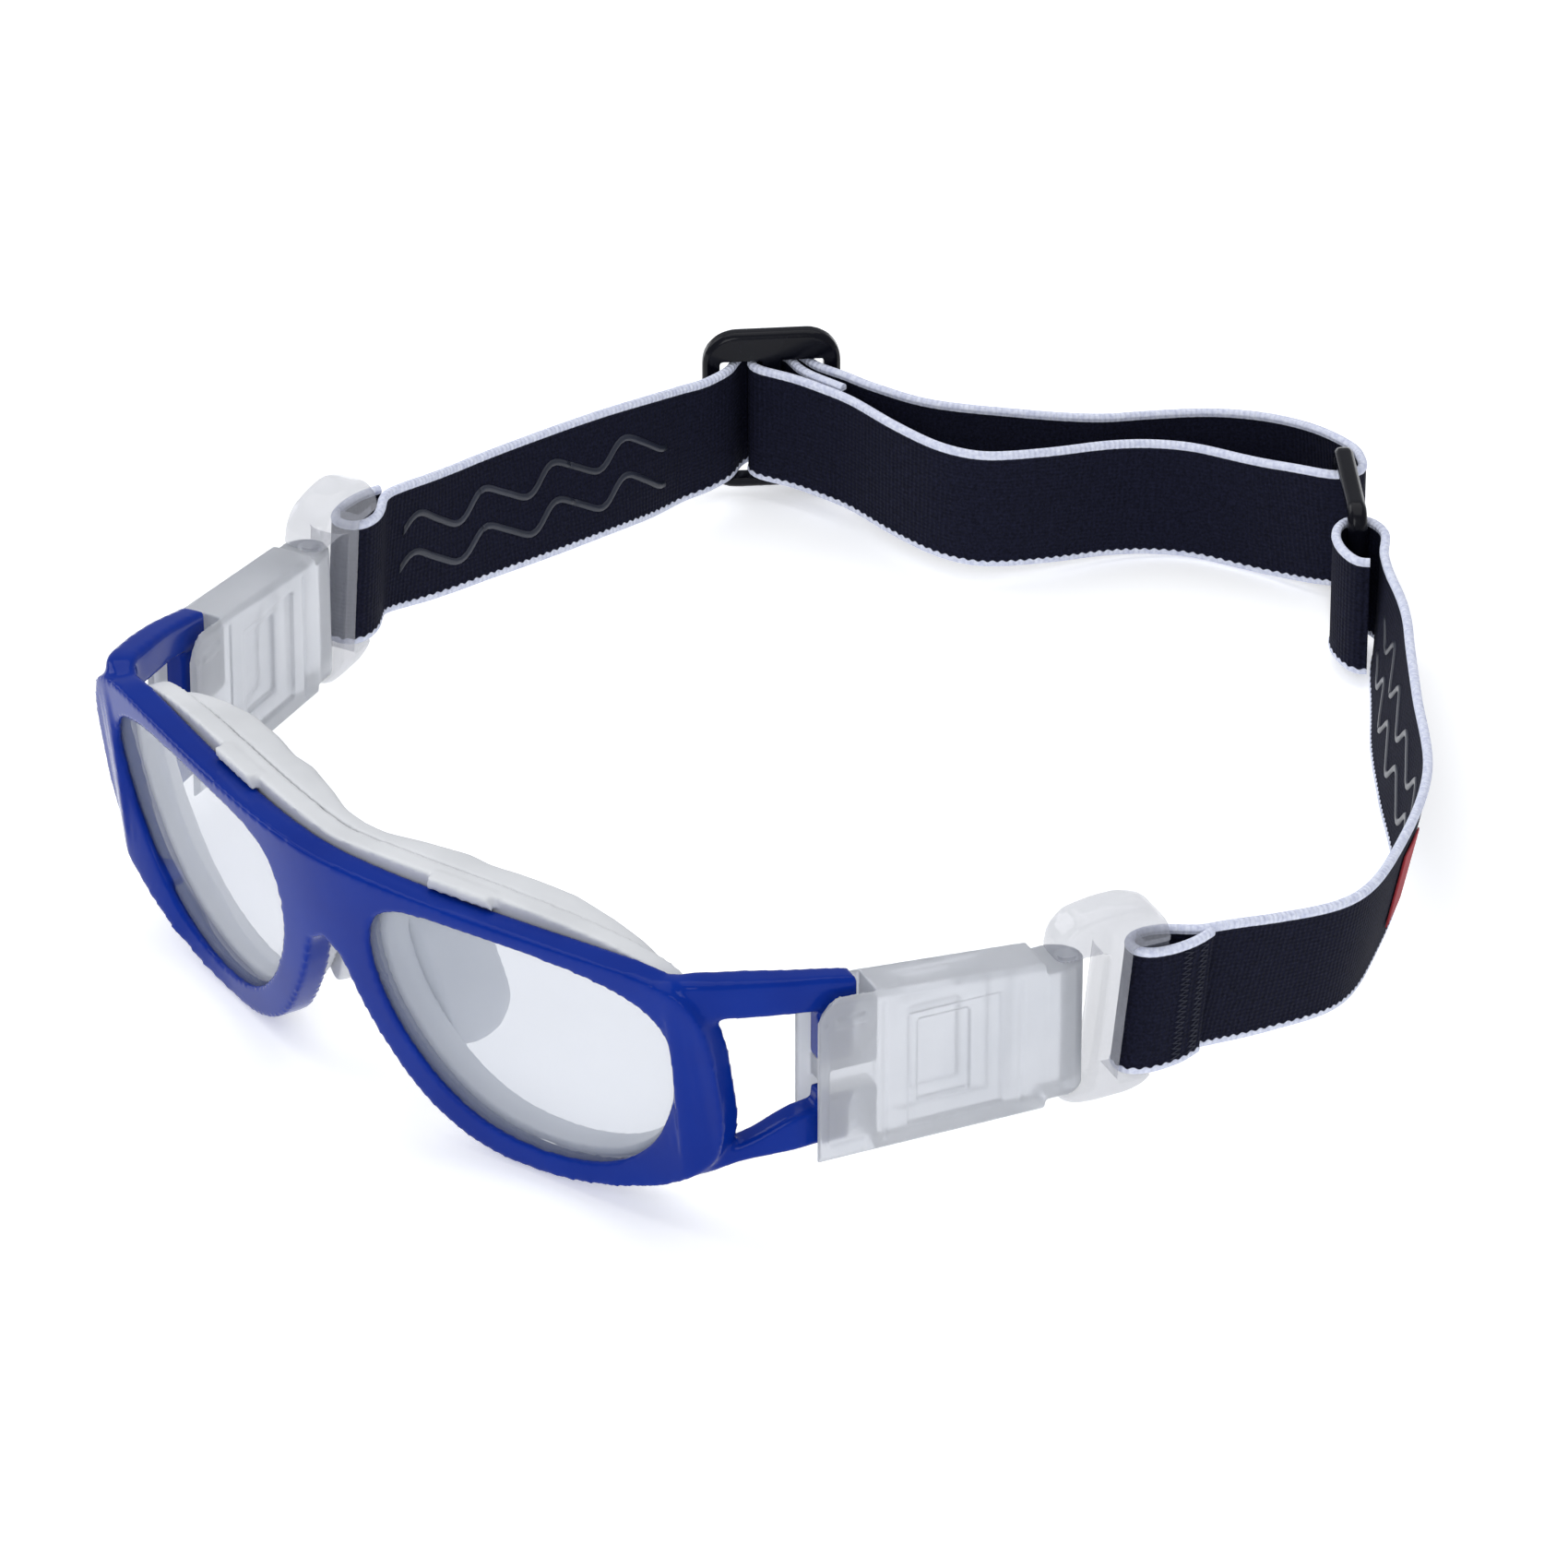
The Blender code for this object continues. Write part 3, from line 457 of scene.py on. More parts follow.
def ease_corners(item, places, reach, rounds):
    """Smooths the piece further round the given places, on both sides."""
    group = item.vertex_groups.new(name="corners")
    marks = [Vector(p) for p in places]
    for vert in item.data.vertices:
        x, y, z = goggle(vert.co)
        here = Vector((abs(x), y, z))
        near = min((here - mark).length for mark in marks)
        if near < reach:
            group.add([vert.index], ease((reach - near) / (reach * 0.6)), "REPLACE")
    smooth = item.modifiers.new("corners", "SMOOTH")
    smooth.factor = 0.5
    smooth.iterations = rounds
    smooth.vertex_group = "corners"
    settle(item)


def mirror_copy(source, name):
    form = bmesh.new()
    form.from_mesh(source.data)
    middle = -FOOTPRINT_MIDDLE[0] * MM
    for vert in form.verts:
        vert.co.x = 2 * middle - vert.co.x
    bmesh.ops.reverse_faces(form, faces=form.faces)
    mesh = bpy.data.meshes.new(name)
    form.to_mesh(mesh)
    form.free()
    return piece(name, mesh, source.data.materials[0])


def flat_plate(name, outline, front, back, material=None):
    return loft(name, [[Vector((x, depth, z)) for x, z in outline] for depth in (front, back)], material)


def wrap_to_front(item, every=1.5, chin_share=1.0):
    form = bmesh.new()
    form.from_mesh(item.data)
    columns = int(75.0 / every)
    for k in range(-columns, columns + 1):
        place = world((k * every + 0.013, 0, 0))
        geometry = form.verts[:] + form.edges[:] + form.faces[:]
        bmesh.ops.bisect_plane(form, geom=geometry, plane_co=place, plane_no=(1, 0, 0), dist=1e-7)
    bmesh.ops.triangulate(form, faces=form.faces)
    for vert in form.verts:
        x, depth, z = goggle(vert.co)
        vert.co = world(front_point(x, z, depth, chin_share))
    form.to_mesh(item.data)
    form.free()


def box_section(centre, right, up, half_width, half_height, r=0.0):
    w, h = half_width, half_height
    if r <= 0:
        marks = [(-w, -h), (w, -h), (w, h), (-w, h)]
    else:
        marks = [(-w + r, -h), (w - r, -h), (w, -h + r), (w, h - r),
                 (w - r, h), (-w + r, h), (-w, h - r), (-w, -h + r)]
    return [centre + right * a + up * b for a, b in marks]


def temple_box(name, along, across, z_from, z_to, material=None, side=1, r=0.4):
    angle = math.radians(TEMPLE_SPLAY)
    right = Vector((math.cos(angle), -math.sin(angle), 0))
    rings = []
    for place, (bottom, top) in zip(along, (z_from, z_to)):
        centre = temple_point(place, sum(across) / 2, (bottom + top) / 2)
        half = abs(across[1] - across[0]) / 2
        rings.append(box_section(centre, right, Vector((0, 0, 1)), half, (top - bottom) / 2, r))
    if side < 0:
        rings = [[Vector((-p.x, p.y, p.z)) for p in ring] for ring in rings]
    return loft(name, rings, material)


def temple_slab(name, outline, across, material=None):
    return loft(name, [[temple_point(along, a, z) for along, z in outline] for a in across], material)


def swept_arm(name, stations, side):
    """An upright bar with bevelled edges that follows stations of x, y, bottom, top and width."""
    dense = spline(stations, 5)
    rings = []
    for i, (x, y, bottom, top, width) in enumerate(dense):
        ahead = dense[min(i + 1, len(dense) - 1)]
        behind = dense[max(i - 1, 0)]
        run = Vector((ahead[0] - behind[0], ahead[1] - behind[1], 0)).normalized()
        right = Vector((run.y, -run.x, 0))
        centre = Vector((x, y, (bottom + top) / 2))
        ring = box_section(centre, right, Vector((0, 0, 1)), width / 2, (top - bottom) / 2, 0.5)
        rings.append([Vector((side * p.x, p.y, p.z)) for p in ring])
    return loft(name, rings)


def profile(points, x):
    for (x0, v0), (x1, v1) in zip(points, points[1:]):
        if x <= x1:
            return v0 + (v1 - v0) * max(0.0, x - x0) / (x1 - x0)
    return points[-1][1]


# ---------------------------------------------------------------- frame, lenses and liner

def make_frame():
    outline = half_to_full(spline(RIM_OUTLINE, 8))
    shape = flat_plate("goggle_frame", outline, 0.0, FRAME_DEPTH, BLUE)
    lens = spline(LENS_OPENING, 8, closed=True)
    for side in (1, -1):
        sided = [(side * x, z) for x, z in lens]
        boolean(shape, flat_plate("aperture", sided, -2.0, FRAME_DEPTH + 3.0), "DIFFERENCE")
        seat = offset_outline(sided, LENS_SEAT + GAP)
        boolean(shape, flat_plate("seat", seat, LENS_DEPTH - GAP, FRAME_DEPTH + 3.0), "DIFFERENCE")
    wrap_to_front(shape)
    half = ARM_THICKNESS / 2 - 0.4
    # The arms start well inside the rim, so that they grow out of it without a step.
    middle = FRAME_DEPTH / 2
    upper_root = (*front_point(54.0, 40.0, middle).xy, 37.9, 41.4, 2.6)
    lower_root = (*front_point(51.5, 8.6, middle).xy, 7.4, 10.4, 2.6)
    for side in (1, -1):
        boolean(shape, swept_arm("upper_arm", [upper_root] + UPPER_ARM, side), "UNION")
        boolean(shape, swept_arm("lower_arm", [lower_root] + LOWER_ARM, side), "UNION")
        for z_range in (UPPER_TAB_Z, LOWER_TAB_Z):
            tab = temple_box("tab", TAB_ALONG, (-half, half), z_range, z_range, None, side)
            boolean(shape, tab, "UNION")
    soften(shape, 0.42, 6)
    roots = ((59.5, -7.0, 40.5), (62.5, -4.0, 40.5), (57.0, -4.4, 10.8), (61.0, -2.6, 12.4))
    ease_corners(shape, roots, 6.0, 14)
    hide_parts("frame_front")
    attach(shape, "goggles")


def make_lenses():
    lens = spline(LENS_OPENING, 8, closed=True)
    for side, node in ((1, "lens_left"), (-1, "lens_right")):
        sided = offset_outline([(side * x, z) for x, z in lens], LENS_SEAT)
        item = flat_plate(node + "_clear", sided, LENS_DEPTH, LENS_DEPTH + LENS_THICKNESS, LENS)
        wrap_to_front(item)
        item.data.set_sharp_from_angle(angle=math.radians(35))
        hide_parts(node)
        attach(item, "goggles")


LINER_DEPTH = 3.4
LINER_OUTER = [
    (0.0, 44.6), (12.0, 45.4), (24.0, 45.4), (38.0, 44.8), (50.0, 43.2), (57.6, 40.4), (61.0, 35.0),
    (61.8, 26.0), (60.6, 17.0), (57.6, 10.4), (52.6, 5.8), (45.6, 3.0), (36.4, 2.2),
    (28.4, 3.4), (21.0, 6.8), (14.4, 12.6), (9.0, 20.0), (4.8, 27.6), (0.0, 30.6),
]
BROW_OUTLINE = [
    (0.0, 44.4), (12.0, 45.0), (24.0, 45.0), (38.0, 44.2), (48.0, 42.6), (53.0, 40.6), (52.0, 38.4),
    (46.0, 39.8), (36.0, 40.9), (24.0, 41.0), (12.0, 40.2), (0.0, 37.6),
]
BROW_DEPTHS = [
    (0.0, 3.2), (6.0, 3.3), (12.0, 4.6), (20.0, 5.6), (24.5, 4.9), (30.0, 5.6), (38.0, 5.6), (46.0, 3.8),
    (54.0, 1.6),
]
NOSE_PAD_OUTLINE = [
    (5.8, 31.2), (8.6, 33.0), (12.0, 31.0), (13.6, 25.4), (15.2, 18.6), (15.8, 13.6), (14.8, 10.2),
    (12.4, 11.0), (9.2, 18.0), (6.6, 25.2),
]


def make_liner():
    outline = half_to_full(spline(LINER_OUTER, 8))
    front = FRAME_DEPTH + GAP
    liner = flat_plate("face_liner", outline, front, front + LINER_DEPTH, SILICONE)
    lens = spline(LENS_OPENING, 8, closed=True)
    for side in (1, -1):
        sided = [(side * x, z) for x, z in lens]
        collar = offset_outline(sided, LENS_SEAT - 0.1)
        boolean(liner, flat_plate("collar", collar, LENS_DEPTH + LENS_THICKNESS + GAP, front + 1.0), "UNION")
        hole = offset_outline(sided, -0.6)
        boolean(liner, flat_plate("hole", hole, front - 3.0, front + LINER_DEPTH + 2.0), "DIFFERENCE")
        # A clip that hooks over the rim's top edge.
        clip = [(side * 19.4, 43.6), (side * 30.6, 43.6), (side * 30.0, 45.5), (side * 20.0, 45.7)]
        boolean(liner, flat_plate("clip", clip, FRAME_DEPTH - 1.1, front + 1.2), "UNION")
    wrap_to_front(liner, chin_share=0.0)
    soften(liner, 0.4, 3)
    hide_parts("liner_frame")
    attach(liner, "goggles")


def make_brow_pad():
    outline = half_to_full(spline(BROW_OUTLINE, 6))
    start = FRAME_DEPTH + LINER_DEPTH + 2 * GAP
    rings = []
    for share, drop, shrink in ((0.0, 0.0, 0.0), (0.55, 0.15, 0.0), (0.85, 0.4, 0.0), (1.0, 0.9, 0.6)):
        ring = offset_outline(outline, -shrink) if shrink else outline
        rings.append([Vector((x, start + share * profile(BROW_DEPTHS, abs(x)), z - drop)) for x, z in ring])
    pad = loft("brow_pad_soft", rings, SILICONE)
    wrap_to_front(pad)
    soften(pad, 0.4, 6)
    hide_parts("brow_pad")
    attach(pad, "goggles")


def make_nose_pads():
    start = FRAME_DEPTH + LINER_DEPTH + 2 * GAP
    outline = spline(NOSE_PAD_OUTLINE, 6, closed=True)
    middle = (sum(p[0] for p in outline) / len(outline), sum(p[1] for p in outline) / len(outline))
    for side, node in ((1, "nose_pad_left"), (-1, "nose_pad_right")):
        rings = []
        for depth, shrink, shift in ((0, 0.92, 0), (2, 0.97, 0.4), (4, 1.0, 1.0), (6, 0.97, 1.8),
                                     (8, 0.9, 2.6), (10, 0.74, 3.3), (11, 0.62, 3.6)):
            ring = []
            for x, z in outline:
                near_x = middle[0] + (x - middle[0]) * shrink + shift
                near_z = middle[1] + (z - middle[1]) * shrink
                p = front_point(near_x, near_z, start + depth)
                ring.append(Vector((side * p.x, p.y, p.z)))
            rings.append(ring)
        pad = loft(node + "_soft", rings, SILICONE)
        soften(pad, 0.35, 8)
        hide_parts(node)
        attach(pad, "goggles")


# ---------------------------------------------------------------- temples and brackets

def cylinder(name, point, radius, bottom, top, sides=32):
    rings = [
        [Vector((point.x + radius * math.cos(2 * math.pi * i / sides),
                 point.y + radius * math.sin(2 * math.pi * i / sides), z)) for i in range(sides)]
        for z in (bottom, top)
    ]
    return loft(name, rings)


def make_sleeves():
    half = SLEEVE_THICKNESS / 2
    slope = (SLEEVE_TOP_REAR - SLEEVE_TOP_FRONT) / (SLEEVE_REAR - SLEEVE_FRONT)
    top_at_neck = SLEEVE_TOP_FRONT + slope * (NECK_START - SLEEVE_FRONT)
    sleeve = temple_box(
        "temple_left_frosted", (SLEEVE_FRONT, NECK_START), (-half, half),
        (SLEEVE_BOTTOM, SLEEVE_TOP_FRONT), (SLEEVE_BOTTOM, top_at_neck), FROSTED, r=0.8,
    )
    # The neck is as wide as the sleeve and ends in a rounded nose about the pin.
    plan = [
        (NECK_START - 1.0, half - 0.12), (35.0, half - 0.12), (36.2, half - 0.5), (37.3, half - 1.3),
        (38.1, half - 2.2), (SLEEVE_REAR, half - 3.2),
    ]
    plan += [(along, -across) for along, across in reversed(plan)]
    heights = (NECK_BOTTOM - 1.7, NECK_TOP + 1.7)
    boolean(sleeve, loft("neck", [[temple_point(*p, z) for p in plan] for z in heights]), "UNION")
    # A lip along the flap's front edge, and a short raised bar near its bottom and its top.
    for across in ((half - 0.5, half + 0.35), (-half - 0.35, -half + 0.5)):
        for along, z_range in (
            ((SLEEVE_FRONT, SLEEVE_FRONT + 1.2), (12.6, 34.0)), ((SLEEVE_FRONT + 0.4, 3.4), (12.4, 14.2)),
            ((SLEEVE_FRONT + 2.6, 3.4), (33.2, 34.6)),
        ):
            boolean(sleeve, temple_box("lip", along, across, z_range, z_range, r=0.1), "UNION")
    open_end = SLEEVE_FRONT - 2.0
    below, above = SLEEVE_BOTTOM - 2.0, SLEEVE_TOP_FRONT + 2.0
    slot = temple_slab(
        "slot",
        [(open_end, below), (SLOT_REAR, below), (SLOT_REAR, WEB_Z[0]), (WEB_FRONT, WEB_Z[0]),
         (WEB_FRONT, WEB_Z[1]), (SLOT_REAR, WEB_Z[1]), (SLOT_REAR, above), (open_end, above)],
        (-SLEEVE_SLOT / 2, SLEEVE_SLOT / 2),
    )
    boolean(sleeve, slot, "DIFFERENCE")
    # The flap's upper front corner is rounded off.
    reach = 5.0
    corner = [(SLEEVE_FRONT - 2.0, SLEEVE_TOP_FRONT - reach), (SLEEVE_FRONT, SLEEVE_TOP_FRONT - reach)]
    corner += [
        (SLEEVE_FRONT + reach - reach * math.cos(math.radians(t)),
         SLEEVE_TOP_FRONT - reach + reach * math.sin(math.radians(t))) for t in range(15, 90, 15)
    ]
    corner += [
        (SLEEVE_FRONT + reach, SLEEVE_TOP_FRONT), (SLEEVE_FRONT + reach, above), (SLEEVE_FRONT - 2.0, above),
    ]
    boolean(sleeve, temple_slab("corner", corner, (-half - 1, half + 1)), "DIFFERENCE")
    bore = cylinder("bore", temple_point(SWIVEL_AT, 0, 0), BORE_RADIUS, NECK_BOTTOM - 3, NECK_TOP + 3)
    boolean(sleeve, bore, "DIFFERENCE")
    # Two nested recesses between two grooves, on both faces.
    for sign in (1, -1):
        outer = sign * (half + 1.0)
        for along, z_range, cut in (
            ((6.2, 6.9), (13.0, 36.0), 0.35), ((10.0, 24.6), (14.5, 32.7), 0.5),
            ((11.7, 19.8), (17.7, 31.2), 1.1), ((27.2, 27.8), (13.0, 34.0), 0.35),
        ):
            across = sorted((sign * (half - cut), outer))
            panel = temple_box("panel", along, across, z_range, z_range, r=0.0)
            boolean(sleeve, panel, "DIFFERENCE")
    soften(sleeve, 0.28, 3)
    other = mirror_copy(sleeve, "temple_right_frosted")
    for item, side in ((sleeve, "left"), (other, "right")):
        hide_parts("temple_sleeve_" + side)
        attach(item, "temple_" + side)


def lean_forward(item, side):
    """Leans the strap's end and its bracket, lower edge forwards, fading out along the webbing."""
    angle = math.radians(TEMPLE_SPLAY)
    run = Vector((side * math.sin(angle), math.cos(angle), 0))
    for vert in item.data.vertices:
        x, y, z = goggle(vert.co)
        along = (side * x - HINGE_XY[0]) * math.sin(angle) + (y - HINGE_XY[1]) * math.cos(angle)
        share = ease((along - LEAN_FROM) / 4.0) * ease((LEAN_UNTIL - along) / 18.0)
        vert.co += run * (LOOP_LEAN * share * (z - LOOP_MIDDLE_Z) * MM)


def rounded(points, radius, steps=5):
    """The outline with each corner rounded."""
    path = []
    for i, here in enumerate(points):
        before, after = Vector(points[i - 1]), Vector(points[(i + 1) % len(points)])
        here = Vector(here)
        r = min(radius, (before - here).length * 0.48, (after - here).length * 0.48)
        start = here + (before - here).normalized() * r
        end = here + (after - here).normalized() * r
        for k in range(steps + 1):
            t = k / steps
            path.append(tuple(start * (1 - t) ** 2 + here * (2 * t * (1 - t)) + end * t ** 2))
    return path


def puffed(name, outline, half, round_off, place, material=None):
    """A plate with its rims rounded off: place turns (u, across, v) into goggle coordinates."""
    rings = []
    for share, inset in ((-1.0, 1.0), (-0.92, 0.45), (-0.7, 0.12), (-0.4, 0.0), (0.4, 0.0), (0.7, 0.12),
                         (0.92, 0.45), (1.0, 1.0)):
        rings.append([place(u, half * share, v) for u, v in offset_outline(outline, -inset * round_off)])
    return loft(name, rings, material)


def make_brackets():
    half = BRACKET_WIDTH / 2
    outline = [
        (33.7, 34.2), (34.2, 37.4), (36.4, 39.8), (39.8, 40.9), (43.6, 40.9), (47.2, 39.6), (49.8, 36.6),
        (50.8, 33.0), (50.8, 14.0), (49.4, 11.2), (46.4, 10.2), (41.0, 10.0), (36.6, 10.2), (34.6, 11.2),
        (34.6, 12.4), (40.6, 12.5), (40.6, 34.0), (34.4, 34.0),
    ]
    body = puffed("bracket_left_clear", rounded(outline, 1.3), half, 0.9, temple_point, CLEAR)
    window = rounded([(44.3, 12.5), (46.9, 12.5), (46.9, 34.0), (44.3, 34.0)], 0.6)
    boolean(body, temple_slab("window", window, (-half - 1, half + 1)), "DIFFERENCE")
    for across in ((1.7, half + 1), (-half - 1, -1.7)):
        relief = temple_box("relief", (46.0, 52.0), across, (12.5, 34.0), (12.5, 34.0), r=0.0)
        boolean(body, relief, "DIFFERENCE")
    pin = cylinder("swivel_pin", temple_point(SWIVEL_AT, 0, 0), SWIVEL_RADIUS, 11.6, 35.5)
    boolean(body, pin, "UNION")
    soften(body, 0.2, 5)
    lean_forward(body, 1)
    other = mirror_copy(body, "bracket_right_clear")
    for item, side in ((body, "left"), (other, "right")):
        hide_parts("strap_bracket_" + side)
        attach(item, "bracket_" + side)


# ---------------------------------------------------------------- buckles

def buckle(name, place, length, z_range, half, windows, corner, node, body):
    bottom, top = z_range
    outline = []
    for sx, sz, start in ((1, -1, 270), (1, 1, 0), (-1, 1, 90), (-1, -1, 180)):
        for i in range(9):
            turn = math.radians(start + 11.25 * i)
            centre_x = sx * (length / 2 - corner)
            centre_z = (top - corner) if sz > 0 else (bottom + corner)
            outline.append((centre_x + corner * math.cos(turn), centre_z + corner * math.sin(turn)))
    rings = []
    for across, inset in ((-half, 0.8), (-half * 0.55, 0.1), (half * 0.55, 0.1), (half, 0.8)):
        rings.append([Vector((*place(x, across), z)) for x, z in offset_outline(outline, -inset)])
    item = loft(name, rings, BLACK)
    for x_from, x_to, z_from, z_to in windows:
        corners = [(x_from, z_from), (x_to, z_from), (x_to, z_to), (x_from, z_to)]
        faces = (-half - 1, half + 1)
        cutter = loft("window", [[Vector((*place(x, a), z)) for x, z in corners] for a in faces])
        boolean(item, cutter, "DIFFERENCE")
    soften(item, 0.26, 4)
    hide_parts(node)
    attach(item, body)


def make_buckles():
    low, high = SLIDER_WINDOW_Z
    buckle("adjuster_slider_black", slider_point, SLIDER_LENGTH, SLIDER_Z, BUCKLE_HALF,
           ((-8.2, -1.5, low, high), (1.5, 8.2, low, high)), 5.5, "adjuster_slider", "slider")
    low, high = RING_WINDOW_Z
    reach = RING_BAR_SPACING / 2
    buckle("rear_ring_black", ring_point, RING_LENGTH, RING_Z, BUCKLE_HALF,
           ((-reach + 1.5, reach - 1.5, low, high),), 4.0, "rear_ring", "ring")


# ---------------------------------------------------------------- webbing

END_LOOP = [
    (57.6, 1.0), (54.6, 2.4), (51.6, 3.0), (48.6, 3.05), (46.0, 2.1), (45.4, 0.0), (46.0, -2.1),
    (48.6, -3.05), (51.6, -2.7), (54.8, -1.3), (57.6, -0.65),
]
LEFT_ROUTE = [
    (-88.2, 77.0, 21.0, 6.0), (-89.4, 90.0, 19.5, 12.0), (-90.4, 105.0, 17.9, 14.0),
    (-91.6, 122.0, 16.1, 10.0),
]
SLIDER_WRAP = [
    (-15.4, 9.4), (-11.6, 6.6), (-8.9, 4.2), (-6.6, 1.7), (-5.4, -1.4), (-3.2, -4.0), (0.0, -4.8),
    (3.2, -4.0), (5.3, -1.4), (6.6, 1.4), (8.8, 3.5), (11.6, 5.8), (14.5, 8.6),
]
SLIDER_LOOP = [
    (11.0, 13.3), (6.8, 9.0), (3.2, 5.8), (0.0, 3.7), (-2.7, 1.8), (-3.3, -0.3), (-2.3, -2.2), (0.0, -2.85),
    (2.3, -2.2), (3.3, -0.2), (4.1, 2.4), (6.0, 5.1), (8.6, 7.7), (10.5, 9.6),
]
INNER_ROUTE = [
    (-73.9, 152.2), (-63.6, 151.5), (-54.6, 151.8), (-48.7, 154.2), (-45.4, 158.4), (-42.2, 165.6),
    (-39.4, 173.6), (-35.9, 179.8), (-30.8, 184.6), (-23.6, 187.6), (-17.2, 189.4),
]
OUTER_ROUTE = [
    (-75.4, 157.9), (-68.6, 160.4), (-63.4, 163.9), (-57.2, 169.5), (-51.2, 175.4), (-46.8, 180.8),
    (-43.9, 186.0), (-39.2, 192.8), (-34.2, 197.6), (-28.1, 201.2), (-21.2, 202.4), (-16.4, 202.0),
]
RING_LEFT_LOOP = [
    (-15.6, 202.0), (-11.6, 200.4), (-8.4, 198.6), (-5.6, 196.4), (-5.4, 194.0), (-7.0, 192.0),
    (-10.0, 190.8), (-16.4, 189.6),
]
RING_RIGHT_LOOP = [
    (17.4, 176.8), (14.3, 180.0), (12.2, 182.9), (10.0, 184.4), (6.4, 184.6), (4.6, 182.2), (5.4, 179.2),
    (8.2, 176.4), (12.2, 174.6), (15.4, 174.2), (16.2, 175.4),
]
RIGHT_ROUTE = [
    (18.3, 176.2, 10.7, 6.0), (23.6, 171.8, 11.2, 10.0), (29.6, 166.4, 11.9, 14.0), (37.6, 158.6, 12.7, 15.0),
    (50.1, 147.2, 14.2, 14.0), (68.6, 130.6, 15.6, 12.0), (82.6, 110.4, 17.4, 11.0), (90.6, 94.4, 19.2, 9.0),
    (89.9, 80.5, 20.7, 5.0),
]
# Half thickness of the webbing across its width: a pale bead runs along each edge.
BEAD = [
    (-10.0, 0.18), (-9.9, 0.46), (-9.6, 0.68), (-9.25, 0.72), (-8.95, 0.62), (-8.6, 0.56), (-6.0, 0.56),
    (-3.0, 0.56), (0.0, 0.56), (3.0, 0.56), (6.0, 0.56), (8.6, 0.56), (8.95, 0.62), (9.25, 0.72), (9.6, 0.68),
    (9.9, 0.46), (10.0, 0.18),
]


def strap_bottom(y):
    return max(0.0, 12.5 * (185.0 - y) / 125.0)


def upright(points):
    return [(x, y, strap_bottom(y) + STRAP_WIDTH / 2, 0.0) for x, y in points]


def frames_along(path):
    """(middle, along, face, edge) at each station: face is the left side, edge is towards the top."""
    found = []
    for i, (x, y, z, lean) in enumerate(path):
        ahead, behind = path[min(i + 1, len(path) - 1)], path[max(i - 1, 0)]
        along = Vector((ahead[0] - behind[0], ahead[1] - behind[1], ahead[2] - behind[2])).normalized()
        left = Vector((-along.y, along.x, 0)).normalized()
        up = along.cross(left)
        if up.z < 0:
            up = -up
        tilt = math.radians(lean)
        edge = up * math.cos(tilt) + left * math.sin(tilt)
        face = left * math.cos(tilt) - up * math.sin(tilt)
        found.append((Vector((x, y, z)), along, face, edge))
    return found


def evened(path, plan_rounds, height_rounds):
    """Takes the small kinks out of a path: a little in plan view, more in its height and lean."""
    for turn in range(height_rounds):
        fresh = [path[0]]
        for before, here, after in zip(path, path[1:], path[2:]):
            mean = [(a + 2 * b + c) / 4 for a, b, c in zip(before, here, after)]
            fresh.append(tuple(mean if turn < plan_rounds else list(here[:2]) + mean[2:]))
        path = fresh + [path[-1]]
    return path


GRIP_WAVE = 15.6
GRIP_SWING = 1.8
GRIP_HEIGHTS = (2.7, -3.3)


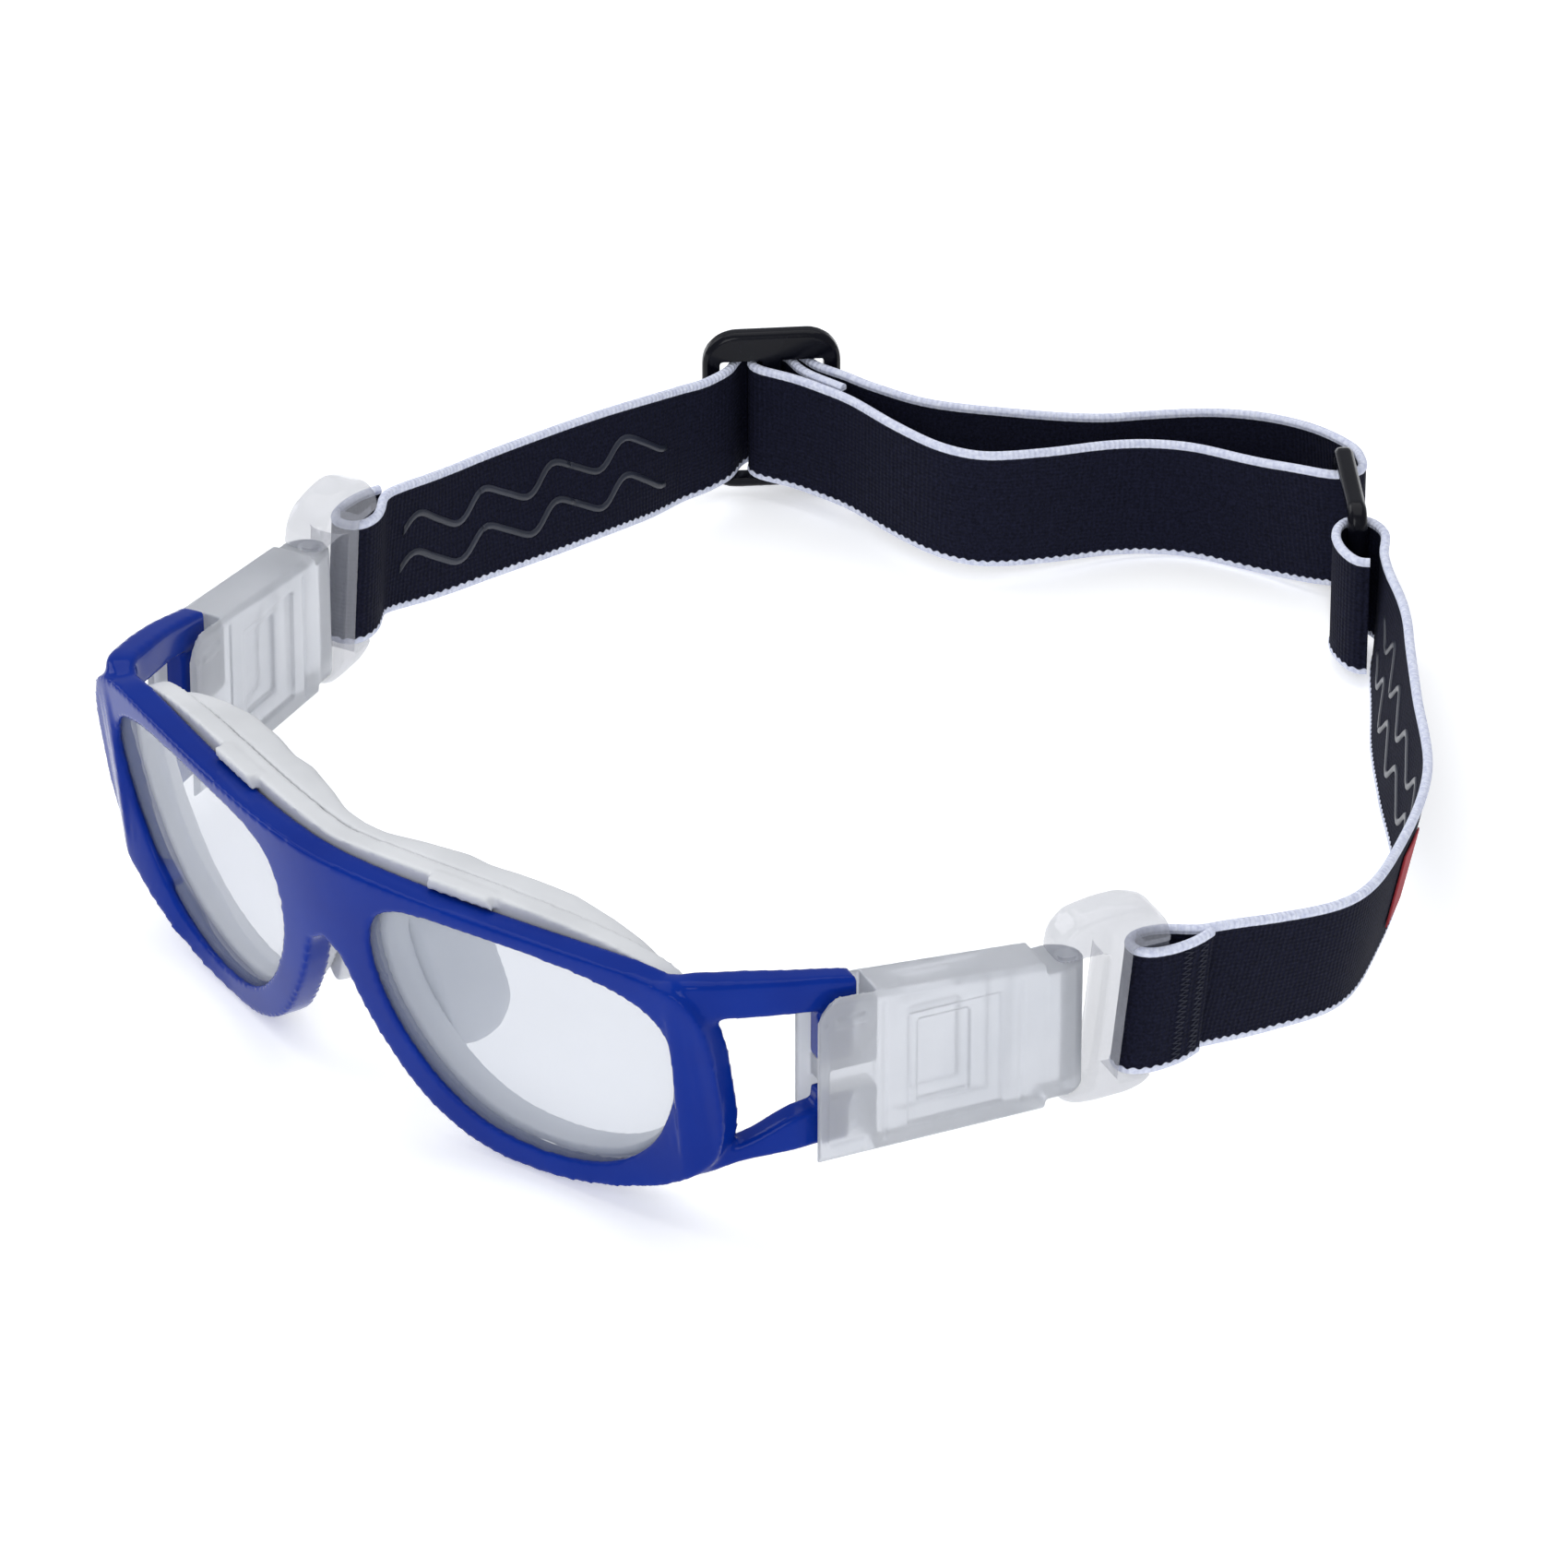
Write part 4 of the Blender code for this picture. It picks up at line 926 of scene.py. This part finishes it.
class Strap:
    """One band of webbing: its path, from which pieces are cut."""

    def __init__(self, stations, step=1.0):
        self.path = evened(resample(spline(stations, 10), step), 3, 60)
        self.stations = frames_along(self.path)
        self.run = [0.0]
        for a, b in zip(self.path, self.path[1:]):
            self.run.append(self.run[-1] + math.dist(a[:3], b[:3]))

    def nearest(self, x, y, after=0.0, before=1e9):
        """The index of the station nearest to (x, y), within a stretch of the run."""
        best = [
            (math.hypot(p[0] - x, p[1] - y), i) for i, p in enumerate(self.path)
            if after <= self.run[i] <= before
        ]
        return min(best)[1]

    def cut(self, name, first, last):
        rings, lengths = [], []
        for i in range(first, last + 1):
            middle, _, face, edge = self.stations[i]
            ring = [middle + face * t + edge * s for s, t in BEAD]
            ring += [middle - face * t + edge * s for s, t in reversed(BEAD)]
            rings.append(ring)
            lengths.append(self.run[i])
        item = loft(name, rings, WEBBING)
        self.add_uv(item, len(rings[0]), lengths)
        item.data.set_sharp_from_angle(angle=math.radians(75))
        return item

    def add_uv(self, item, around, lengths):
        across = [s for s, _ in BEAD] + [s for s, _ in reversed(BEAD)]
        layer = item.data.uv_layers.new(name="UVMap")
        for face in item.data.polygons:
            for corner in face.loop_indices:
                index = item.data.loops[corner].vertex_index
                layer.data[corner].uv = (
                    across[index % around] / STRAP_WIDTH + 0.5, lengths[index // around] / STRAP_WIDTH
                )

    def grip(self, name, first, last, middle_at, side):
        """A wavy bead of clear silicone on one face, middle_at mm above the webbing's middle line."""
        rings = []
        for i in range(first, last + 1):
            middle, _, face, edge = self.stations[i]
            turn = 2 * math.pi * self.run[i] / GRIP_WAVE
            swing = GRIP_SWING * (math.sin(turn) + 0.18 * math.sin(2 * turn))
            slope = GRIP_SWING * 2 * math.pi / GRIP_WAVE * (math.cos(turn) + 0.36 * math.cos(2 * turn))
            widen = math.sqrt(1 + slope * slope)
            centre = middle + face * (side * 0.56) + edge * (middle_at + swing)
            ring = []
            for k in range(10):
                turn = 2 * math.pi * k / 10
                ring.append(
                    centre + edge * (0.55 * widen * math.cos(turn)) + face * (side * 0.26 * math.sin(turn))
                )
            rings.append(ring)
        return loft(name, rings, GRIP)


    def stitches(self, name, at, side):
        """A zigzag row of stitching across the band, on one face."""
        middle, along, face, edge = self.stations[at]
        rings = []
        for k in range(41):
            zigzag = 0.7 if k % 2 else -0.7
            centre = middle + face * (side * 0.58) + edge * (17.2 * (k / 40 - 0.5)) + along * zigzag
            rings.append([
                centre + along * (0.2 * math.cos(math.pi * j / 3)) + face * (0.17 * math.sin(math.pi * j / 3))
                for j in range(6)
            ])
        return loft(name, rings, THREAD)


def end_loop(side, reverse):
    stations = []
    for along, across in END_LOOP:
        p = temple_point(along, across, LOOP_MIDDLE_Z, side)
        stations.append((p.x, p.y, p.z, 0.0))
    return list(reversed(stations)) if reverse else stations


def at_height(points, place, middle):
    return [(*place(*p), middle, 0.0) for p in points]


def ride_webbing(item, body, *nodes):
    if nodes:
        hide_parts(*nodes)
    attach(item, body)


def blend_webbing(item, strap, first, last, a, b, *nodes):
    if nodes:
        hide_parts(*nodes)
    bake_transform(item)


def make_adjustable_strap():
    """The band on the wearer's right: bracket, slider, ring, and back to the slider's centre bar."""
    at_slider = SLIDER_WINDOW_Z[0] + 0.3 + STRAP_WIDTH / 2
    at_ring = RING_WINDOW_Z[0] + 0.3 + STRAP_WIDTH / 2
    ring_loop = [(x, y, at_ring, 0.0) for x, y in RING_LEFT_LOOP]
    stations = (
        end_loop(-1, False) + LEFT_ROUTE + at_height(SLIDER_WRAP, slider_point, at_slider)
        + upright(OUTER_ROUTE[1:-1]) + ring_loop[1:-1] + list(reversed(upright(INNER_ROUTE)))
        + at_height(SLIDER_LOOP[1:], slider_point, at_slider)
    )
    strap = Strap(stations)
    total = strap.run[-1]
    # The stations where one piece hands over to the next.
    m = {}
    m["loop_end"] = strap.nearest(*strap_xy(temple_point(57.6, -0.65, 0, -1)), after=20, before=60)
    m["bracket_end"] = strap.nearest(-89.2, 88.0, before=total / 3)
    m["temple_end"] = strap.nearest(-90.6, 108.0, before=total / 3)
    m["slider_start"] = strap.nearest(*slider_point(-15.0, 9.1), before=total / 3)
    m["slider_end"] = strap.nearest(*slider_point(14.3, 8.4), before=total / 2.4)
    m["outer_start"] = strap.nearest(-55.0, 171.6, before=total * 0.6)
    m["outer_end"] = strap.nearest(-34.2, 197.6, before=total * 0.7)
    m["ring_start"] = strap.nearest(-14.6, 201.6, before=total * 0.7)
    half = strap.run[m["ring_start"]]
    m["ring_end"] = strap.nearest(-15.6, 189.6, after=half)
    m["inner_start"] = strap.nearest(-35.9, 179.8, after=half)
    m["inner_end"] = strap.nearest(-52.0, 152.4, after=half)
    m["sewn_start"] = strap.nearest(*slider_point(11.2, 13.5), after=half)
    m["last"] = len(strap.path) - 1
    loop = strap.cut("strap_right_end_loop", 0, m["loop_end"])
    lean_forward(loop, -1)
    ride_webbing(loop, "bracket_right", "strap_end_loop_right")
    for k in (2, 5):
        row = strap.stitches(f"stitches_right_{k}", k, -1)
        lean_forward(row, -1)
        ride_webbing(row, "bracket_right")
    for name, first, end, a, b, nodes in (
        ("strap_right_at_bracket", "loop_end", "bracket_end", "bracket_right", "temple_right", ()),
        ("strap_right_at_temple", "bracket_end", "temple_end", "temple_right", "goggles",
         ("strap_right_run",)),
        ("strap_right_at_slider", "temple_end", "slider_start", "goggles", "slider", ()),
        ("strap_outer_at_slider", "slider_end", "outer_start", "slider", "goggles", ()),
        ("strap_outer_at_ring", "outer_end", "ring_start", "goggles", "ring", ()),
        ("strap_inner_at_ring", "ring_end", "inner_start", "ring", "goggles", ()),
        ("strap_inner_at_slider", "inner_end", "sewn_start", "goggles", "slider", ()),
    ):
        item = strap.cut(name, m[first], m[end])
        lean_forward(item, -1)
        blend_webbing(item, strap, m[first], m[end], a, b, *nodes)
    for name, first, end, body, node in (
        ("slider_winding", "slider_start", "slider_end", "slider", "slider_wrap"),
        ("strap_outer_middle", "outer_start", "outer_end", "goggles", "strap_outer_layer"),
        ("ring_winding", "ring_start", "ring_end", "ring", "ring_loop_outer"),
        ("strap_inner_middle", "inner_start", "inner_end", "goggles", "strap_inner_layer"),
        ("slider_sewn_loop", "sewn_start", "last", "slider", "slider_loop"),
    ):
        ride_webbing(strap.cut(name, m[first], m[end]), body, node)
    for k, height in enumerate(GRIP_HEIGHTS):
        for name, first, end, a, b in (
            ("grip_right_at_bracket", "loop_end", "bracket_end", "bracket_right", "temple_right"),
            ("grip_right_at_temple", "bracket_end", "temple_end", "temple_right", "goggles"),
            ("grip_right_at_slider", "temple_end", "slider_start", "goggles", "slider"),
        ):
            start = m[first] + (3 if first == "loop_end" else 0)
            end_at = m[end] - (5 if end == "slider_start" else 0)
            line = strap.grip(f"{name}_{k + 1}", start, end_at, height, -1)
            lean_forward(line, -1)
            blend_webbing(line, strap, m[first], m[end], a, b)
    return strap


def strap_xy(point):
    return point.x, point.y


def make_fixed_strap():
    """The band on the wearer's left: sewn round the ring and round the bracket."""
    at_ring = RING_WINDOW_Z[0] + 0.3 + STRAP_WIDTH / 2
    ring_loop = [(x, y, at_ring, 0.0) for x, y in reversed(RING_RIGHT_LOOP)]
    stations = ring_loop[:-1] + RIGHT_ROUTE + end_loop(1, True)
    strap = Strap(stations)
    total = strap.run[-1]
    ring_end = strap.nearest(16.6, 177.6, after=20, before=80)
    ring_free = strap.nearest(37.6, 158.6)
    temple_start = strap.nearest(86.0, 104.0, before=total * 0.85)
    bracket_start = strap.nearest(90.4, 86.0, before=total * 0.9)
    loop_start = strap.nearest(*strap_xy(temple_point(57.6, -0.65, 0)), after=total * 0.6, before=total - 20)
    last = len(strap.path) - 1
    ride_webbing(strap.cut("ring_sewn_loop", 0, ring_end), "ring", "ring_loop_sewn")
    at_ring_side = strap.cut("strap_left_at_ring", ring_end, ring_free)
    blend_webbing(at_ring_side, strap, ring_end, ring_free, "ring", "goggles")
    ride_webbing(strap.cut("strap_left_middle", ring_free, temple_start), "goggles", "strap_left_run")
    for name, first, end, a, b in (
        ("strap_left_at_temple", temple_start, bracket_start, "goggles", "temple_left"),
        ("strap_left_at_bracket", bracket_start, loop_start, "temple_left", "bracket_left"),
    ):
        item = strap.cut(name, first, end)
        lean_forward(item, 1)
        blend_webbing(item, strap, first, end, a, b)
    loop = strap.cut("strap_left_end_loop", loop_start, last)
    lean_forward(loop, 1)
    ride_webbing(loop, "bracket_left", "strap_end_loop_left")
    for k in (2, 5):
        row = strap.stitches(f"stitches_left_{k}", last - k, -1)
        lean_forward(row, 1)
        ride_webbing(row, "bracket_left")
    for k, height in enumerate(GRIP_HEIGHTS):
        line = strap.grip(f"grip_left_at_ring_{k + 1}", ring_end + 6, ring_free, height, -1)
        blend_webbing(line, strap, ring_end, ring_free, "ring", "goggles")
        line = strap.grip(f"grip_left_middle_{k + 1}", ring_free, temple_start, height, -1)
        ride_webbing(line, "goggles")
    return strap


def make_label(label):
    """A plain woven label on the outer face of the wearer's left band."""
    first = label.nearest(78.6, 116.4) - 6
    rings = []
    for i in range(first, first + 11):
        middle, _, face, edge = label.stations[i]
        middle = middle + face * 0.82
        rings.append([middle + face * t + edge * s for s, t in
                      ((-6, -0.1), (6, -0.1), (6, 0.12), (5.7, 0.2), (-5.7, 0.2), (-6, 0.12))])
    item = loft("plain_label", rings, LABEL)
    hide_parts("woven_label")
    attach(item, "goggles")


# ---------------------------------------------------------------- stage

def make_stage():
    scene = bpy.context.scene
    scene.view_settings.view_transform = "Standard"
    mesh = bpy.data.meshes.new("floor")
    form = bmesh.new()
    bmesh.ops.create_grid(form, x_segments=1, y_segments=1, size=6.0)
    form.to_mesh(mesh)
    form.free()
    floor = bpy.data.objects.new("floor", mesh)
    scene.collection.objects.link(floor)
    floor.location.z = -0.0002
    material, _, shader = nodes_of("floor_pale")
    shader.inputs["Base Color"].default_value = (0.92, 0.925, 0.935, 1.0)
    shader.inputs["Roughness"].default_value = 0.6
    shader.inputs["Specular IOR Level"].default_value = 0.2
    shader.inputs["Emission Color"].default_value = (1.0, 1.0, 1.0, 1.0)
    shader.inputs["Emission Strength"].default_value = 0.36
    mesh.materials.append(material)

    studio = bpy.data.worlds.new("studio")
    studio.use_nodes = True
    studio.node_tree.nodes["Background"].inputs["Color"].default_value = (0.93, 0.95, 1.0, 1.0)
    studio.node_tree.nodes["Background"].inputs["Strength"].default_value = 0.45
    scene.world = studio
    for name, place, size, power, colour in (
        ("overhead", (-0.15, 0.25, 1.3), 1.6, 10.0, (1.0, 1.0, 1.0)),
        ("front_fill", (0.9, -1.3, 1.0), 1.0, 11.0, (0.96, 0.98, 1.0)),
        ("left_fill", (-1.4, -0.4, 0.9), 0.9, 7.0, (0.97, 0.98, 1.0)),
    ):
        light = bpy.data.lights.new(name, "AREA")
        light.shape = "SQUARE"
        light.size = size
        light.energy = power
        light.color = colour
        lamp = bpy.data.objects.new(name, light)
        lamp.location = place
        lamp.rotation_euler = (Vector((0, 0, 0.02)) - Vector(place)).to_track_quat("-Z", "Y").to_euler()
        scene.collection.objects.link(lamp)

    view = bpy.data.cameras.new("camera")
    view.sensor_width = 36.0
    view.lens = 241.04
    view.clip_end = 20.0
    camera = bpy.data.objects.new("camera", view)
    camera.location = world((975.5, -843.0, 795.9))
    camera.rotation_euler = (math.radians(90 - 30.22), 0.0, math.radians(46.94))
    scene.collection.objects.link(camera)
    scene.camera = camera


make_frame()
make_lenses()
make_liner()
make_brow_pad()
make_nose_pads()
make_sleeves()
make_brackets()
make_buckles()
make_adjustable_strap()
make_label(make_fixed_strap())
make_stage()
